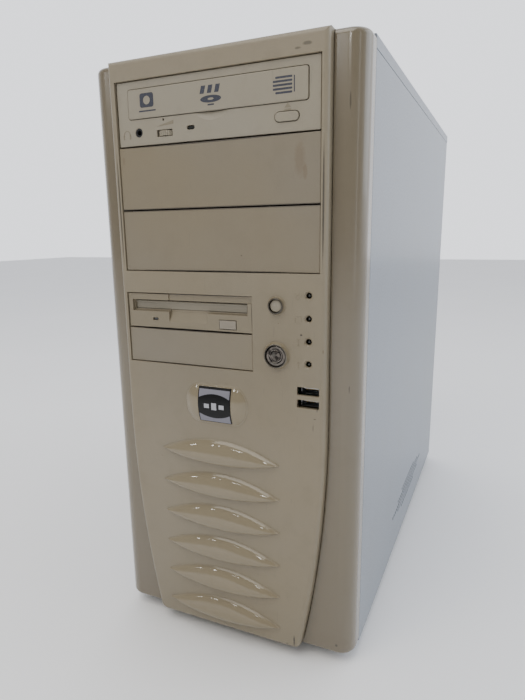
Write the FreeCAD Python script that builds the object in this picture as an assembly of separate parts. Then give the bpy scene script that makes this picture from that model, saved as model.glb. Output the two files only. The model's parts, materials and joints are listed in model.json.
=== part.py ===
"""A beige ATX tower computer, built as its separate pieces: plastic front, steel chassis and covers,
drives, power supply, motherboard, graphics card and fans.

Working frame, in millimetres: X to the right seen from the front, Y from the front face towards the
rear, Z up from the floor. y = 0 is the front face of the centre panel. Each shape is moved along Y at
export, so that the origin lies at the middle of the footprint, on the floor.
"""
import FreeCAD, Part
import math
import os

V = FreeCAD.Vector

# ---- overall sizes ----
case_width = 200.0
body_height = 423.0
foot_height = 8.0
bezel_depth = 28.0
chassis_length = 402.0
sheet = 1.0
plastic_wall = 2.5
slip = 0.5                       # clearance round anything that is pushed or slid into place
running = 0.3                    # clearance round anything that turns
shaft_fit = 0.06                 # radial clearance of a shaft in its bearing
fan_shaft_radius = 1.5

# ---- front ----
panel_proud = 8.0                # the centre panel stands this far in front of the side columns
panel_half_width = 79.5
panel_taper = 18.5               # how far each side of the panel has curved in at its foot
taper_height = 180.0             # the sides start to curve in this far above the foot
column_radius = 12.0
panel_edge_radius = 3.5
web_gap = 3.0                    # from the columns' front face back to the web behind the panel
louvre_count = 6
louvre_pitch = 26.3
louvre_length = 96.0
louvre_height = 19.0
louvre_proud = 5.5
louvre_centre_x = -2.0
intake_pitch = 11.0
intake_hole_radius = 3.4
louvre_rise = 9.8                # from the foot of the plastic front up to the lowest louvre
dome_half_width = 25.5
dome_half_height = 15.5
dome_proud = 4.0
badge_proud = 0.3
badge_side = 26.0
badge_x = -2.2
badge_depth = 1.2
badge_drop = 27.0                # from the foot of the small bays down to the badge's middle

# ---- drive bays ----
bay_width = 149.0
bay_pitch = 42.4
bay_count = 3
bay_drop = 14.0                  # from the top of the case down to the bays
bay_centre_x = 0.5
small_bay_width = 102.4
small_bay_pitch = 26.0
small_bay_drop = 15.6            # from the foot of the wide bays down to the small ones
small_bay_centre_x = -23.8
small_bay_count = 6
cover_recess = 0.8
drive_recess = 1.5
drive_width = 146.0
drive_height = 41.3
drive_length = 186.0
small_drive_width = 101.0
small_drive_height = 25.0
small_drive_length = 140.0

# ---- controls ----
power_x, power_drop = 45.0, 39.2           # drops are measured from the top of the small bays
reset_x, reset_drop = 45.2, 5.6
power_diameter = 14.4
power_ring_width = 2.3
reset_diameter = 8.4
reset_ring_width = 2.1
ring_proud = 2.6
power_travel = 3.0
reset_travel = 2.0
lamp_x = 67.4
lamp_rise = 1.7                  # the top lamp, above the top of the small bays
lamp_pitch = 15.1
lamp_count = 4
lamp_diameter = 3.0
lamp_hole_diameter = 4.0
port_x = 67.4
port_width = 15.6
port_height = 5.8
port_pitch = 8.8
port_drop = 62.2
switch_board_margin = 6.0

# ---- rear ----
board_inset = 20.5               # from the chassis's side in to the motherboard's solder side
board_thickness = 1.6
board_height = 305.0
board_length = 244.0
board_rise = 10.0
standoff_height = 5.0
slot_pitch = 20.32
slot_count = 7
slot_rise = 10.0                 # from the board's foot up to the lowest slot
io_width = 44.45
io_height = 158.75
io_rise = 144.5
psu_width = 150.0
psu_height = 86.0
psu_length = 140.0
psu_centre_x = -9.0
fan_side = 80.0
fan_depth = 25.0
fan_hole_pitch = 71.5
rear_fan_x, rear_fan_rise = -42.0, 228.0
cpu_fan_side = 60.0
cpu_fan_depth = 15.0
cpu_inset, cpu_rise = 128.0, 240.0         # from the board's rear edge, and from its foot

# ---- side covers ----
lip_height = 8.0                 # the top cover's lip folded down over each side
cover_flange = 4.0
screw_flange_width = 17.0
screw_radius = 1.75
knob_radius = 7.0
knob_length = 7.0
screw_shank = 1.4
vent_length = 168.0
vent_height = 24.0
vent_centre_y = 241.0
vent_rise = 37.0
vent_hole_radius = 1.6
vent_pitch_y = 6.0
vent_pitch_z = 4.6

# ---- worked out from the sizes above ----
floor_z = foot_height
top_z = foot_height + body_height
half_width = case_width / 2
column_y = panel_proud
web_y = column_y + web_gap
chassis_y = bezel_depth + 1.0
rear_y = bezel_depth + chassis_length
chassis_half = half_width - sheet - cover_flange - slip
taper_radius = (taper_height**2 + panel_taper**2) / (2 * panel_taper)
board_plane_x = chassis_half - board_inset
tray_x = board_plane_x + standoff_height
bay_top_z = top_z - bay_drop
bay_foot_z = bay_top_z - bay_count * bay_pitch
small_bay_top_z = bay_foot_z - small_bay_drop
small_bay_foot_z = small_bay_top_z - 2 * small_bay_pitch
power_z, reset_z = small_bay_top_z - power_drop, small_bay_top_z - reset_drop
lamp_top_z, port_top_z = small_bay_top_z + lamp_rise, small_bay_top_z - port_drop
badge_z = small_bay_foot_z - badge_drop
louvre_low_z = floor_z + louvre_rise
vent_centre_z = floor_z + vent_rise
side_panel_top = top_z - lip_height - slip
cover_rear_y = rear_y + 0.2 + sheet
side_panel_front = bezel_depth + slip
psu_top = top_z - sheet - 2.5
psu_foot = psu_top - psu_height
psu_front_y = rear_y - sheet - psu_length
board_rear_y = rear_y - sheet - 1.0
board_foot_z = floor_z + board_rise
board_top_z = board_foot_z + board_height
slot_low_z, io_foot_z = board_foot_z + slot_rise, board_foot_z + io_rise
rear_fan_z = board_foot_z + rear_fan_rise
cpu_y, cpu_z = board_rear_y - cpu_inset, board_foot_z + cpu_rise
board_face_x = board_plane_x - board_thickness
cage_rear_y = board_rear_y - board_length - 2.0
knob_y = cover_rear_y + running
dome_radius = (dome_half_height**2 + dome_proud**2) / (2 * dome_proud)
front_reach = -louvre_proud
rear_reach = knob_y + knob_length
middle_y = (front_reach + rear_reach) / 2
switch_board_y = bezel_depth - 3.0
stem_y = switch_board_y - 6.5    # where the push buttons' stems end
screw_x = chassis_half - (screw_flange_width - cover_flange - slip) / 2
thumbscrew_zs = (floor_z + 60.0, top_z - 60.0)
clip_x = half_width - 10.0
clip_zs = (floor_z + 32.0, floor_z + body_height * 0.48, top_z - 48.0)
controls_left, controls_right = power_x - power_diameter / 2 - 4.0, port_x + port_width / 2 + 1.0
controls_low, controls_high = port_top_z - port_pitch - 4.2, lamp_top_z + 3.6


# ---- small helpers ----
def block(x0, x1, y0, y1, z0, z1):
    """A box between two corners."""
    return Part.makeBox(x1 - x0, y1 - y0, z1 - z0, V(x0, y0, z0))


def centred(x, y0, y1, z, width, height):
    """A box centred on x and z."""
    return block(x - width / 2, x + width / 2, y0, y1, z - height / 2, z + height / 2)


def rod_y(x, z, y0, y1, radius):
    return Part.makeCylinder(radius, y1 - y0, V(x, y0, z), V(0, 1, 0))


def rod_x(y, z, x0, x1, radius):
    return Part.makeCylinder(radius, x1 - x0, V(x0, y, z), V(1, 0, 0))


def rod_z(x, y, z0, z1, radius):
    return Part.makeCylinder(radius, z1 - z0, V(x, y, z0), V(0, 0, 1))


def joined(shapes):
    """Every shape fused into one solid, with the seams between faces removed."""
    first = shapes[0]
    if len(shapes) > 1:
        first = first.multiFuse(shapes[1:])
    return first.removeSplitter()


def less(shape, tools):
    return shape.cut(Part.makeCompound(tools)) if tools else shape


def group(shapes):
    return Part.makeCompound(shapes)


def mirrored(shape):
    return shape.mirror(V(0, 0, 0), V(1, 0, 0))


def rounded_edges(shape, radius, chosen):
    """Fillets the edges for which chosen(edge) is true."""
    edges = [e for e in shape.Edges if chosen(e)]
    return shape.makeFillet(radius, edges) if edges else shape


def upright(edge):
    box = edge.BoundBox
    return box.XLength < 1e-6 and box.YLength < 1e-6


def along_y(edge):
    box = edge.BoundBox
    return box.XLength < 1e-6 and box.ZLength < 1e-6


def soft_block(x0, x1, y0, y1, z0, z1, radius):
    """A box whose edges along Y are rounded."""
    return rounded_edges(block(x0, x1, y0, y1, z0, z1), radius, along_y)


def ring_slots(x, z, y0, y1, inner, outer, rings, spoke):
    """Ring-shaped slots cut by four spokes, as a stamped fan grille has."""
    step = (outer - inner) / rings
    slots = []
    for i in range(rings):
        low = inner + i * step
        ring = rod_y(x, z, y0, y1, low + step * 0.68).cut(rod_y(x, z, y0, y1, low))
        slots.append(ring)
    span = outer + 1
    spokes = [centred(x, y0, y1, z, 2 * span, spoke), centred(x, y0, y1, z, spoke, 2 * span)]
    return [less(ring, spokes) for ring in slots]


# ---- front of the case ----
def panel_outline(grow, low_z, high_z):
    """The centre panel's outline: straight sides that curve in towards the foot. A positive grow widens it."""
    bend_z = floor_z + taper_height
    half = panel_half_width + grow
    centre_x = half - taper_radius

    def side_x(z):
        return centre_x + math.sqrt(taper_radius**2 - (bend_z - z)**2)

    middle_z = (bend_z + low_z) / 2
    foot, middle = V(side_x(low_z), 0, low_z), V(side_x(middle_z), 0, middle_z)
    bend, head = V(half, 0, bend_z), V(half, 0, high_z)

    def other(p):
        return V(-p.x, 0, p.z)

    edges = [
        Part.LineSegment(other(foot), foot).toShape(),
        Part.Arc(foot, middle, bend).toShape(),
        Part.LineSegment(bend, head).toShape(),
        Part.LineSegment(head, other(head)).toShape(),
        Part.LineSegment(other(head), other(bend)).toShape(),
        Part.Arc(other(bend), other(middle), other(foot)).toShape(),
    ]
    return Part.Face(Part.Wire(edges))


def panel_block(grow, y0, y1, low_z, high_z):
    face = panel_outline(grow, low_z, high_z)
    face.translate(V(0, y0, 0))
    return face.extrude(V(0, y1 - y0, 0))


def bay_openings(y0, y1, extra):
    """The two bay openings, and extra clearance round them."""
    tall = block(bay_centre_x - bay_width / 2 - extra, bay_centre_x + bay_width / 2 + extra,
                 y0, y1, bay_foot_z - extra, bay_top_z + extra)
    small = block(small_bay_centre_x - small_bay_width / 2 - extra,
                  small_bay_centre_x + small_bay_width / 2 + extra,
                  y0, y1, small_bay_foot_z - extra, small_bay_top_z + extra)
    return [tall, small]


def louvre(low_z):
    """One almond-shaped hood. Each cross-section rises from the panel at the top to a full lip at the foot."""
    stations = 9
    wires = []
    for i in range(stations):
        along = -1 + 2 * i / (stations - 1)
        share = max(0.03, 1 - along * along)
        x = louvre_centre_x + along * louvre_length / 2
        crown = low_z + 0.32 * louvre_height
        top = crown + 0.68 * louvre_height * share
        foot = crown - 0.32 * louvre_height * share
        rise = top - foot
        proud = louvre_proud * math.sqrt(share)
        inside = 1.0
        curve = Part.BSplineCurve()
        curve.interpolate([
            V(x, inside, top + 0.2), V(x, -0.32 * proud, top - 0.10 * rise), V(x, -0.72 * proud,
                    top - 0.34 * rise),
            V(x, -0.97 * proud, top - 0.66 * rise), V(x, -0.80 * proud, foot + 0.07 * rise), V(x,
                    inside, foot),
        ])
        wires.append(Part.Wire([curve.toShape(), Part.LineSegment(V(x, inside, foot), V(x, inside,
                top + 0.2)).toShape()]))
    return Part.makeLoft(wires, True, False)


def louvre_slot(low_z):
    """The air slot under a louvre's lip, cut through the panel behind it."""
    half = louvre_length * 0.21
    return block(louvre_centre_x - half, louvre_centre_x + half, -louvre_proud + 2.4, plastic_wall + 0.5,
                 low_z - 0.5, low_z + 3.4)


def badge_swell(grow, half_length):
    """A piece of the long rounded swell under the badge: a bar about an axis along X, inside the panel."""
    radius = dome_radius + grow
    return rod_x(dome_radius - dome_proud, badge_z, badge_x - half_length, badge_x + half_length, radius)


def badge_dome():
    """The raised oval that carries the badge: a bar across the badge's width, closed by a rounded end each side."""
    straight = badge_side / 2 + 0.2
    reach = dome_half_width - straight
    stretch = reach / math.sqrt(1 - (1 - dome_proud / dome_radius)**2)
    parts = [badge_swell(0, straight)]
    for side in (-1, 1):
        scale = FreeCAD.Matrix()
        scale.scale(stretch, dome_radius, dome_radius)
        end = Part.makeSphere(1.0).transformGeometry(scale)
        end.translate(V(badge_x + side * straight, dome_radius - dome_proud, badge_z))
        span = 2 * dome_half_width
        low_x = badge_x + straight if side > 0 else badge_x - straight - span
        parts.append(end.common(block(low_x, low_x + span, -dome_proud - 1, 1.0, badge_z - span,
                                      badge_z + span)))
    shown = centred(badge_x, -dome_proud - 1, 1.0, badge_z, 2 * straight, 3 * dome_half_width)
    parts[0] = parts[0].common(shown)
    return joined(parts)



def collar(x, z, outer, bore):
    """The raised collar round a push button, narrower at its front edge."""
    body = Part.makeCone(outer / 2, outer / 2 - 1.2, ring_proud, V(x, 0, z), V(0, -1, 0))
    front = [e for e in body.Edges if e.BoundBox.YLength < 1e-6 and e.BoundBox.YMin < -ring_proud + 0.01]
    body = body.makeFillet(0.7, front)
    guide = rod_y(x, z, 0, web_y, bore / 2 + 1.6)
    return joined([body, guide])


def front_panel():
    low, high = floor_z + 1.0, top_z - 0.4
    outer = panel_block(0, 0, web_y, low, high)
    corners = [e for e in outer.Edges if along_y(e) and abs(e.BoundBox.XMin) > 40]
    outer = outer.makeFillet(6.0, [e for e in corners if e.BoundBox.ZMin < floor_z + 20])
    front = [e for e in outer.Edges if e.BoundBox.YLength < 1e-6 and e.BoundBox.YMin < 1e-6]
    outer = outer.makeFillet(panel_edge_radius, front)
    inside = panel_block(-plastic_wall, plastic_wall, web_y + 1, low + plastic_wall, high - plastic_wall)
    shell = outer.cut(inside)
    hoods = [louvre(louvre_low_z + i * louvre_pitch) for i in range(louvre_count)]
    collars = [collar(power_x, power_z, power_diameter + 2 * power_ring_width,
                      power_diameter + 2 * running),
               collar(reset_x, reset_z, reset_diameter + 2 * reset_ring_width,
                      reset_diameter + 2 * running)]
    surround = [block(bay_centre_x - bay_width / 2 - plastic_wall,
                      bay_centre_x + bay_width / 2 + plastic_wall,
                      1.0, web_y, bay_foot_z - plastic_wall, bay_top_z + plastic_wall),
                block(small_bay_centre_x - small_bay_width / 2 - plastic_wall,
                      small_bay_centre_x + small_bay_width / 2 + plastic_wall,
                      1.0, web_y, small_bay_foot_z - plastic_wall, small_bay_top_z + plastic_wall)]
    bosses = [rod_y(x, z, 1.0, web_y, 3.6) for x, z in panel_screws()]
    surround = [s.common(panel_block(-0.5, 0, web_y + 1, low + 0.5, high - 0.5)) for s in surround]
    body = joined([shell, badge_dome()] + hoods + collars + surround + bosses)
    cuts = bay_openings(-1, web_y + 1, 0)
    cuts += [louvre_slot(louvre_low_z + i * louvre_pitch) for i in range(louvre_count)]
    cuts.append(rod_y(power_x, power_z, -10, web_y + 1, power_diameter / 2 + running))
    cuts.append(rod_y(reset_x, reset_z, -10, web_y + 1, reset_diameter / 2 + running))
    seat = centred(badge_x, -dome_proud - 1, 2.0, badge_z, badge_side + 0.4, badge_side + 0.4)
    cuts.append(seat.cut(badge_swell(-badge_depth, badge_side)))
    for i in range(lamp_count):
        z = lamp_top_z - i * lamp_pitch
        cuts.append(rod_y(lamp_x, z, -1, plastic_wall + 1, lamp_hole_diameter / 2))
        cuts.append(Part.makeCone(lamp_hole_diameter / 2 + 1.0, lamp_hole_diameter / 2, 1.0,
                                  V(lamp_x, 0, z), V(0, 1, 0)))
    for i in range(2):
        z = port_top_z - i * port_pitch
        cuts.append(soft_block(port_x - port_width / 2, port_x + port_width / 2, -1, plastic_wall + 1,
                               z - port_height / 2, z + port_height / 2, 0.8))
    cuts += [rod_y(x, z, 4.0, web_y + 1, 1.25) for x, z in panel_screws()]
    return less(body, cuts)


def panel_screws():
    """Where the screws from behind hold the centre panel to the frame."""
    edge = panel_half_width - 8.0
    foot = panel_half_width - panel_taper - 7.0
    levels = (floor_z + taper_height - 8.0, bay_foot_z - small_bay_drop / 2)
    return [(s * foot, floor_z + 14.0) for s in (-1, 1)] + [(s * edge, z) for z in levels for s in (-1, 1)]


def bezel_frame():
    """The outer moulding: two rounded columns, and the web behind the centre panel that joins them."""
    body = block(-half_width, half_width, column_y, bezel_depth, floor_z, top_z)
    corners = [e for e in body.Edges if upright(e) and e.BoundBox.YMin < column_y + 0.1]
    body = body.makeFillet(column_radius, corners)
    front = [e for e in body.Edges if e.BoundBox.YLength < 1e-6 and e.BoundBox.YMin < column_y + 0.1
             and e.BoundBox.ZLength < 1e-6]
    body = body.makeFillet(4.0, front)
    pocket = panel_block(slip, column_y - 1, web_y, floor_z - 1, top_z + 1)
    centre = block(-panel_half_width - slip - 1, panel_half_width + slip + 1, web_y + plastic_wall,
                   bezel_depth + 1,
                   floor_z + plastic_wall, top_z - plastic_wall)
    inner = panel_half_width + slip + plastic_wall
    outer = half_width - plastic_wall
    column = block(inner, outer, column_y + plastic_wall, bezel_depth + 1, floor_z + plastic_wall,
                   top_z - plastic_wall)
    column = column.makeFillet(column_radius - plastic_wall,
                               [e for e in column.Edges if upright(e) and e.BoundBox.XMin > outer - 1e-3
                                and e.BoundBox.YMin < column_y + 5])
    hollow = block(panel_half_width - 4, outer, web_y + plastic_wall, bezel_depth + 1,
                   floor_z + plastic_wall, top_z - plastic_wall)
    body = less(body, [pocket, centre, column, mirrored(column), hollow, mirrored(hollow)])
    cuts = bay_openings(web_y - 1, web_y + plastic_wall + 1, 1.0)
    cuts.append(block(louvre_centre_x - 45, louvre_centre_x + 45, web_y - 1, web_y + plastic_wall + 1,
                      louvre_low_z + 4, louvre_low_z + louvre_count * louvre_pitch - 6))
    cuts.append(block(controls_left, controls_right, web_y - 1, web_y + plastic_wall + 1, controls_low,
                      controls_high))
    cuts += [rod_y(x, z, web_y - 1, web_y + plastic_wall + 1, 1.8) for x, z in panel_screws()]
    clips = []
    for z in clip_zs:
        tip = chassis_y + sheet
        clip = joined([block(clip_x - 2, clip_x, web_y + plastic_wall - 0.5, tip + 4, z - 5, z + 5),
                       block(clip_x, clip_x + 1.2, tip + 0.6, tip + 4, z - 5, z + 5),
                       block(inner - 4, clip_x, web_y, web_y + plastic_wall, z - 5, z + 5)])
        clips += [clip, mirrored(clip)]
    return joined([less(body, cuts)] + clips)


def bay_blank(centre_x, width, low_z, high_z):
    """A snap-in bay cover: a face plate with a skirt and two hooked side arms."""
    half = width / 2 - 0.35
    back_y = web_y + plastic_wall
    face = block(centre_x - half, centre_x + half, cover_recess, cover_recess + 2.6, low_z + 0.4,
                 high_z - 0.4)
    face = rounded_edges(face, 0.5, lambda e: e.BoundBox.YMax < cover_recess + 0.01)
    skirt = block(centre_x - half, centre_x + half, cover_recess + 1.5, web_y, low_z + 0.4, high_z - 0.4)
    skirt = skirt.cut(block(centre_x - half + 2, centre_x + half - 2, cover_recess, web_y + 1,
                            low_z + 2.4, high_z - 2.4))
    middle = (low_z + high_z) / 2
    arms = []
    for side in (-1, 1):
        x = centre_x + side * (half - 0.9)
        arms.append(centred(x, web_y - 1, back_y + 4, middle, 1.8, 12))
        hook_x = centre_x + side * (half + 0.8)
        arms.append(centred(hook_x, back_y + 1.0, back_y + 3, middle, 2.4, 12))
    return joined([face, skirt] + arms)


def badge():
    """The square badge, a thin plate bent to follow the swell that it sits in."""
    plate = centred(badge_x, -dome_proud - 1, 3.0, badge_z, badge_side, badge_side)
    plate = rounded_edges(plate, 0.8, along_y)
    return plate.common(badge_swell(badge_proud, badge_side)).cut(badge_swell(-badge_depth, badge_side))


def push_button(x, z, diameter, proud):
    """A round button with a crowned face, a stem and a stop flange behind the panel."""
    head = rod_y(x, z, -proud, web_y - 3, diameter / 2)
    head = head.makeFillet(0.8,
                           [e for e in head.Edges if e.BoundBox.YLength < 1e-6 and e.BoundBox.YMin < 0])
    flange = rod_y(x, z, web_y + 0.4, web_y + 2, diameter / 2 + 1.4)
    neck = rod_y(x, z, web_y - 4, web_y + 2, diameter / 2)
    stem = rod_y(x, z, web_y + 1, stem_y, 2.0)
    return joined([head, neck, flange, stem])


def power_button():
    """The bright power button, with a dished rim round a low centre dome."""
    button = push_button(power_x, power_z, power_diameter, 1.6)
    dish = Part.makeTorus(4.2, 1.0, V(power_x, -1.9, power_z), V(0, 1, 0))
    return button.cut(dish)


def reset_button():
    return push_button(reset_x, reset_z, reset_diameter, 1.2)


def switch_board():
    """The small circuit board behind the controls, with its two switch bodies and plug header."""
    low, high = controls_low - switch_board_margin, controls_high + switch_board_margin - 1.5
    board = block(controls_left + 2, controls_right - 1, switch_board_y, switch_board_y + 1.6, low, high)
    switches = [centred(power_x, stem_y + power_travel + running, switch_board_y, power_z, 6, 6),
                centred(reset_x, stem_y + reset_travel + running, switch_board_y, reset_z, 6, 6)]
    corners = [(controls_left + 4.5, low + 2.0), (controls_left + 4.5, high - 2.0),
               (controls_right - 3.5, low + 2.0)]
    mounts = [rod_y(x, z, web_y + plastic_wall, switch_board_y + 0.5, 1.5) for x, z in corners]
    return joined([board] + switches + mounts)


def indicator_lamps():
    """Four lamps: a domed lens, a collar and two legs down to the board each."""
    lamps = []
    for i in range(lamp_count):
        z = lamp_top_z - i * lamp_pitch
        lens = joined([rod_y(lamp_x, z, 3.2, 8.0, lamp_diameter / 2),
                       Part.makeSphere(lamp_diameter / 2, V(lamp_x, 3.2, z)),
                       rod_y(lamp_x, z, 7.0, 8.0, lamp_diameter / 2 + 0.5),
                       centred(lamp_x - 0.9, 8.0, switch_board_y, z, 0.6, 0.6),
                       centred(lamp_x + 0.9, 8.0, switch_board_y, z, 0.6, 0.6)])
        lamps.append(lens)
    return group(lamps)


def usb_sockets():
    """Two front sockets: a folded steel mouth with a contact tongue in each."""
    sockets = []
    for i in range(2):
        z = port_top_z - i * port_pitch
        mouth = centred(port_x, 6.0, switch_board_y, z, 13.2, 5.8)
        mouth = mouth.cut(centred(port_x, 5.0, 20.0, z, 12.2, 4.8))
        tongue = centred(port_x, 8.0, 21.0, z + 0.9, 10.4, 1.6)
        sockets.append(joined([mouth, tongue]))
    return group(sockets)


# ---- chassis ----
def bottom_pan():
    """The floor of the chassis with a flange folded up along each side."""
    floor = block(-chassis_half, chassis_half, chassis_y, rear_y, floor_z, floor_z + sheet)
    side = block(chassis_half - sheet, chassis_half, chassis_y + sheet, rear_y - sheet, floor_z,
                 floor_z + 16)
    pan = joined([floor, side, mirrored(side)])
    return less(pan, [rod_z(x, y, floor_z - 1, floor_z + sheet + 1, 2.2) for x, y in foot_places()])


foot_radius = 11.0


def foot_places():
    x = half_width - 26
    return [(sx * x, y) for sx in (-1, 1) for y in (chassis_y + 36, rear_y - 36)]


def feet():
    """Four round moulded feet, each on a peg pushed through the floor."""
    made = []
    for x, y in foot_places():
        pad = Part.makeCone(foot_radius - 2.0, foot_radius, foot_height, V(x, y, 0), V(0, 0, 1))
        pad = pad.makeFillet(1.0,
                             [e for e in pad.Edges if e.BoundBox.ZLength < 1e-6 and e.BoundBox.ZMin < 1e-6])
        made.append(joined([pad, rod_z(x, y, foot_height - 1, floor_z + sheet + 3, 2.0)]))
    return group(made)


def rear_plate():
    """The rear wall with openings for the power supply, the ports, the fan and the card slots."""
    y0, y1 = rear_y - sheet, rear_y
    plate = block(-chassis_half, chassis_half, y0, y1, floor_z + sheet, top_z - sheet)
    window = block(psu_centre_x - psu_width / 2 + 4, psu_centre_x + psu_width / 2 - 4, y0 - 1, y1 + 1,
                   psu_foot + 3, psu_top - 3)
    cuts = [less(window, [rod_y(x, z, y0 - 2, y1 + 2, 5.5) for x, z in psu_screw_places()])]
    cuts += [rod_y(x, z, y0 - 1, y1 + 1, screw_shank) for x, z in psu_screw_places()]
    cuts.append(block(board_face_x - 1.5 - io_width, board_face_x - 1.5, y0 - 1, y1 + 1, io_foot_z,
                      io_foot_z + io_height))
    for i in range(slot_count):
        z = slot_low_z + i * slot_pitch
        cuts.append(centred(slot_x, y0 - 1, y1 + 1, z, slot_width, 13.6))
    cuts += ring_slots(rear_fan_x, rear_fan_z, y0 - 1, y1 + 1, 7.0, fan_side / 2 - 2, 6, 4.0)
    cuts += [rod_y(x, z, y0 - 1, y1 + 1, screw_shank)
             for x, z in fan_corners(rear_fan_x, rear_fan_z, fan_hole_pitch)]
    cuts += [rod_y(side * screw_x, z, y0 - 1, y1 + 1, screw_radius + running)
             for side in (-1, 1) for z in thumbscrew_zs]
    return less(plate, cuts)


slot_width = 96.0
slot_x = board_face_x - 8.0 - slot_width / 2


def fan_corners(x, z, pitch):
    return [(x + sx * pitch / 2, z + sz * pitch / 2) for sx in (-1, 1) for sz in (-1, 1)]


def front_plate():
    """The steel front wall behind the plastic, open at the bays, the controls and the air intake, with the
    two rails folded back along the top to the rear wall."""
    y0, y1 = chassis_y, chassis_y + sheet
    wall = block(-chassis_half, chassis_half, y0, y1, floor_z + sheet, top_z - sheet)
    rail = block(chassis_half - 12, chassis_half, y0, rear_y - sheet, top_z - 2 * sheet, top_z - sheet)
    plate = joined([wall, rail, mirrored(rail)])
    cuts = bay_openings(y0 - 1, y1 + 1, 0)
    cuts.append(block(controls_left, controls_right, y0 - 1, y1 + 1, controls_low, controls_high))
    rows = int((louvre_count * louvre_pitch - 24) / intake_pitch)
    columns = int(0.9 * louvre_length / intake_pitch)
    for row in range(rows):
        for column in range(columns):
            x = louvre_centre_x + (column - columns / 2 + (row % 2) / 2) * intake_pitch
            cuts.append(rod_y(x, louvre_low_z + 14 + row * intake_pitch, y0 - 1, y1 + 1,
                              intake_hole_radius))
    for z in clip_zs:
        for side in (-1, 1):
            cuts.append(centred(side * (clip_x - 0.4), y0 - 1, y1 + 1, z, 4.4, 12))
    return less(plate, cuts)


def motherboard_tray():
    """The wall that carries the motherboard, with pressed standoffs and a stiffening fold at its foot."""
    wall = block(tray_x, tray_x + sheet, chassis_y + sheet, rear_y - sheet, floor_z + sheet, psu_foot - 1)
    posts = [rod_x(y, z, board_plane_x, tray_x + 0.5, 3.0) for y, z in board_holes()]
    bored = [rod_x(y, z, board_plane_x - 1, tray_x + sheet + 1, 1.3) for y, z in board_holes()]
    return less(joined([wall] + posts), bored)


def board_holes():
    ys = (board_rear_y - 10, board_rear_y - 134, board_rear_y - board_length + 8)
    zs = (board_foot_z + 8, board_foot_z + 162, board_top_z - 10)
    return [(y, z) for y in ys for z in zs]


def cage_walls(centre_x, width, y0, y1, low_z, high_z, hole_zs):
    """Two side walls of a drive cage, each a pressed sheet with screw slots."""
    walls = []
    for side in (-1, 1):
        x = centre_x + side * (width / 2 + sheet / 2)
        wall = block(x - sheet / 2, x + sheet / 2, y0, y1, low_z, high_z)
        slots = []
        for z in hole_zs:
            for y in (y0 + 35, y0 + 112):
                slots.append(block(x - sheet, x + sheet, y - 6, y + 6, z - 1.7, z + 1.7))
        walls.append(less(wall, slots))
    return walls


def drive_cage_upper():
    holes = [bay_top_z - bay_pitch * i - 31.0 for i in range(bay_count)]
    walls = cage_walls(bay_centre_x, drive_width, chassis_y + sheet, cage_rear_y, bay_foot_z - 0.5,
                       bay_top_z + 1, holes)
    return group(walls)


def drive_cage_lower():
    """The narrow cage for the floppy drive and the hard disk, hung from a shelf."""
    holes = [small_bay_top_z - small_bay_pitch * i - 19.0 for i in range(small_bay_count)]
    cage_floor_z = small_bay_top_z - small_bay_count * small_bay_pitch - 20.0
    shelf_z = bay_foot_z - 0.5 - sheet
    walls = cage_walls(small_bay_centre_x, small_drive_width, chassis_y + sheet, cage_rear_y,
                       cage_floor_z, shelf_z, holes)
    half = small_drive_width / 2 + sheet
    floor = block(small_bay_centre_x - half, small_bay_centre_x + half, chassis_y + sheet, cage_rear_y,
                  cage_floor_z - sheet, cage_floor_z)
    shelf = block(bay_centre_x - drive_width / 2 - sheet, bay_centre_x + drive_width / 2 + sheet,
                  chassis_y + sheet,
                  cage_rear_y, shelf_z, shelf_z + sheet)
    return group(walls + [floor, shelf])


def top_cover():
    """The outer top with a lip folded down each side and over the rear edge."""
    skin = block(-half_width, half_width, side_panel_front, rear_y + 1.4 + sheet, top_z - sheet, top_z)
    lip = block(half_width - sheet, half_width, side_panel_front, rear_y + 1.4 + sheet,
                top_z - lip_height, top_z)
    body = joined([skin, lip, mirrored(lip),
                   block(-half_width, half_width, rear_y + 1.4, rear_y + 1.4 + sheet,
                         top_z - lip_height, top_z)])
    corner = [e for e in body.Edges if (e.BoundBox.XLength < 1e-6 and e.BoundBox.ZLength < 1e-6
              and e.BoundBox.ZMin > top_z - 0.01 and abs(abs(e.BoundBox.XMin) - half_width) < 0.01)]
    rear = [e for e in body.Edges if (e.BoundBox.YLength < 1e-6 and e.BoundBox.ZLength < 1e-6
            and e.BoundBox.ZMin > top_z - 0.01 and e.BoundBox.YMin > rear_y + 1)]
    body = body.makeFillet(0.9, corner + rear)
    return body


def side_cover():
    """The right-hand cover: outer skin, folded edges, and a rear flange that takes the thumbscrews."""
    x = half_width
    low, high = floor_z + slip, side_panel_top
    skin = block(x - sheet, x, side_panel_front, cover_rear_y, low, high)
    inner = x - sheet - cover_flange
    edges = [block(inner, x, side_panel_front, cover_rear_y - sheet, high - sheet, high),
             block(inner, x, side_panel_front, cover_rear_y - sheet, low, low + sheet),
             block(inner, x, side_panel_front, side_panel_front + sheet, low, high)]
    flange = block(x - sheet - screw_flange_width, x, cover_rear_y - sheet, cover_rear_y, low, top_z - 18)
    body = joined([skin, flange] + edges)
    rim = [e for e in body.Edges if upright(e) and abs(e.BoundBox.XMin - x) < 0.01]
    body = body.makeFillet(0.8, rim)
    holes = [rod_y(screw_x, z, cover_rear_y - 2, cover_rear_y + 1,
                   screw_radius + running) for z in thumbscrew_zs]
    return less(body, holes)


def vent_holes():
    """Round holes in an eye-shaped field, in staggered rows."""
    holes = []
    rows = int(vent_height / vent_pitch_z / 2)
    for row in range(-rows, rows + 1):
        share = 1 - abs(row * vent_pitch_z) / (vent_height / 2)
        reach = vent_length / 2 * math.sqrt(max(0.0, share))
        count = int(reach / vent_pitch_y)
        stagger = vent_pitch_y / 2 if row % 2 else 0
        for k in range(-count, count + 1):
            y = vent_centre_y + k * vent_pitch_y + stagger
            z = vent_centre_z + row * vent_pitch_z
            holes.append(rod_x(y, z, half_width - 2, half_width + 1, vent_hole_radius))
    return holes


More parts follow.
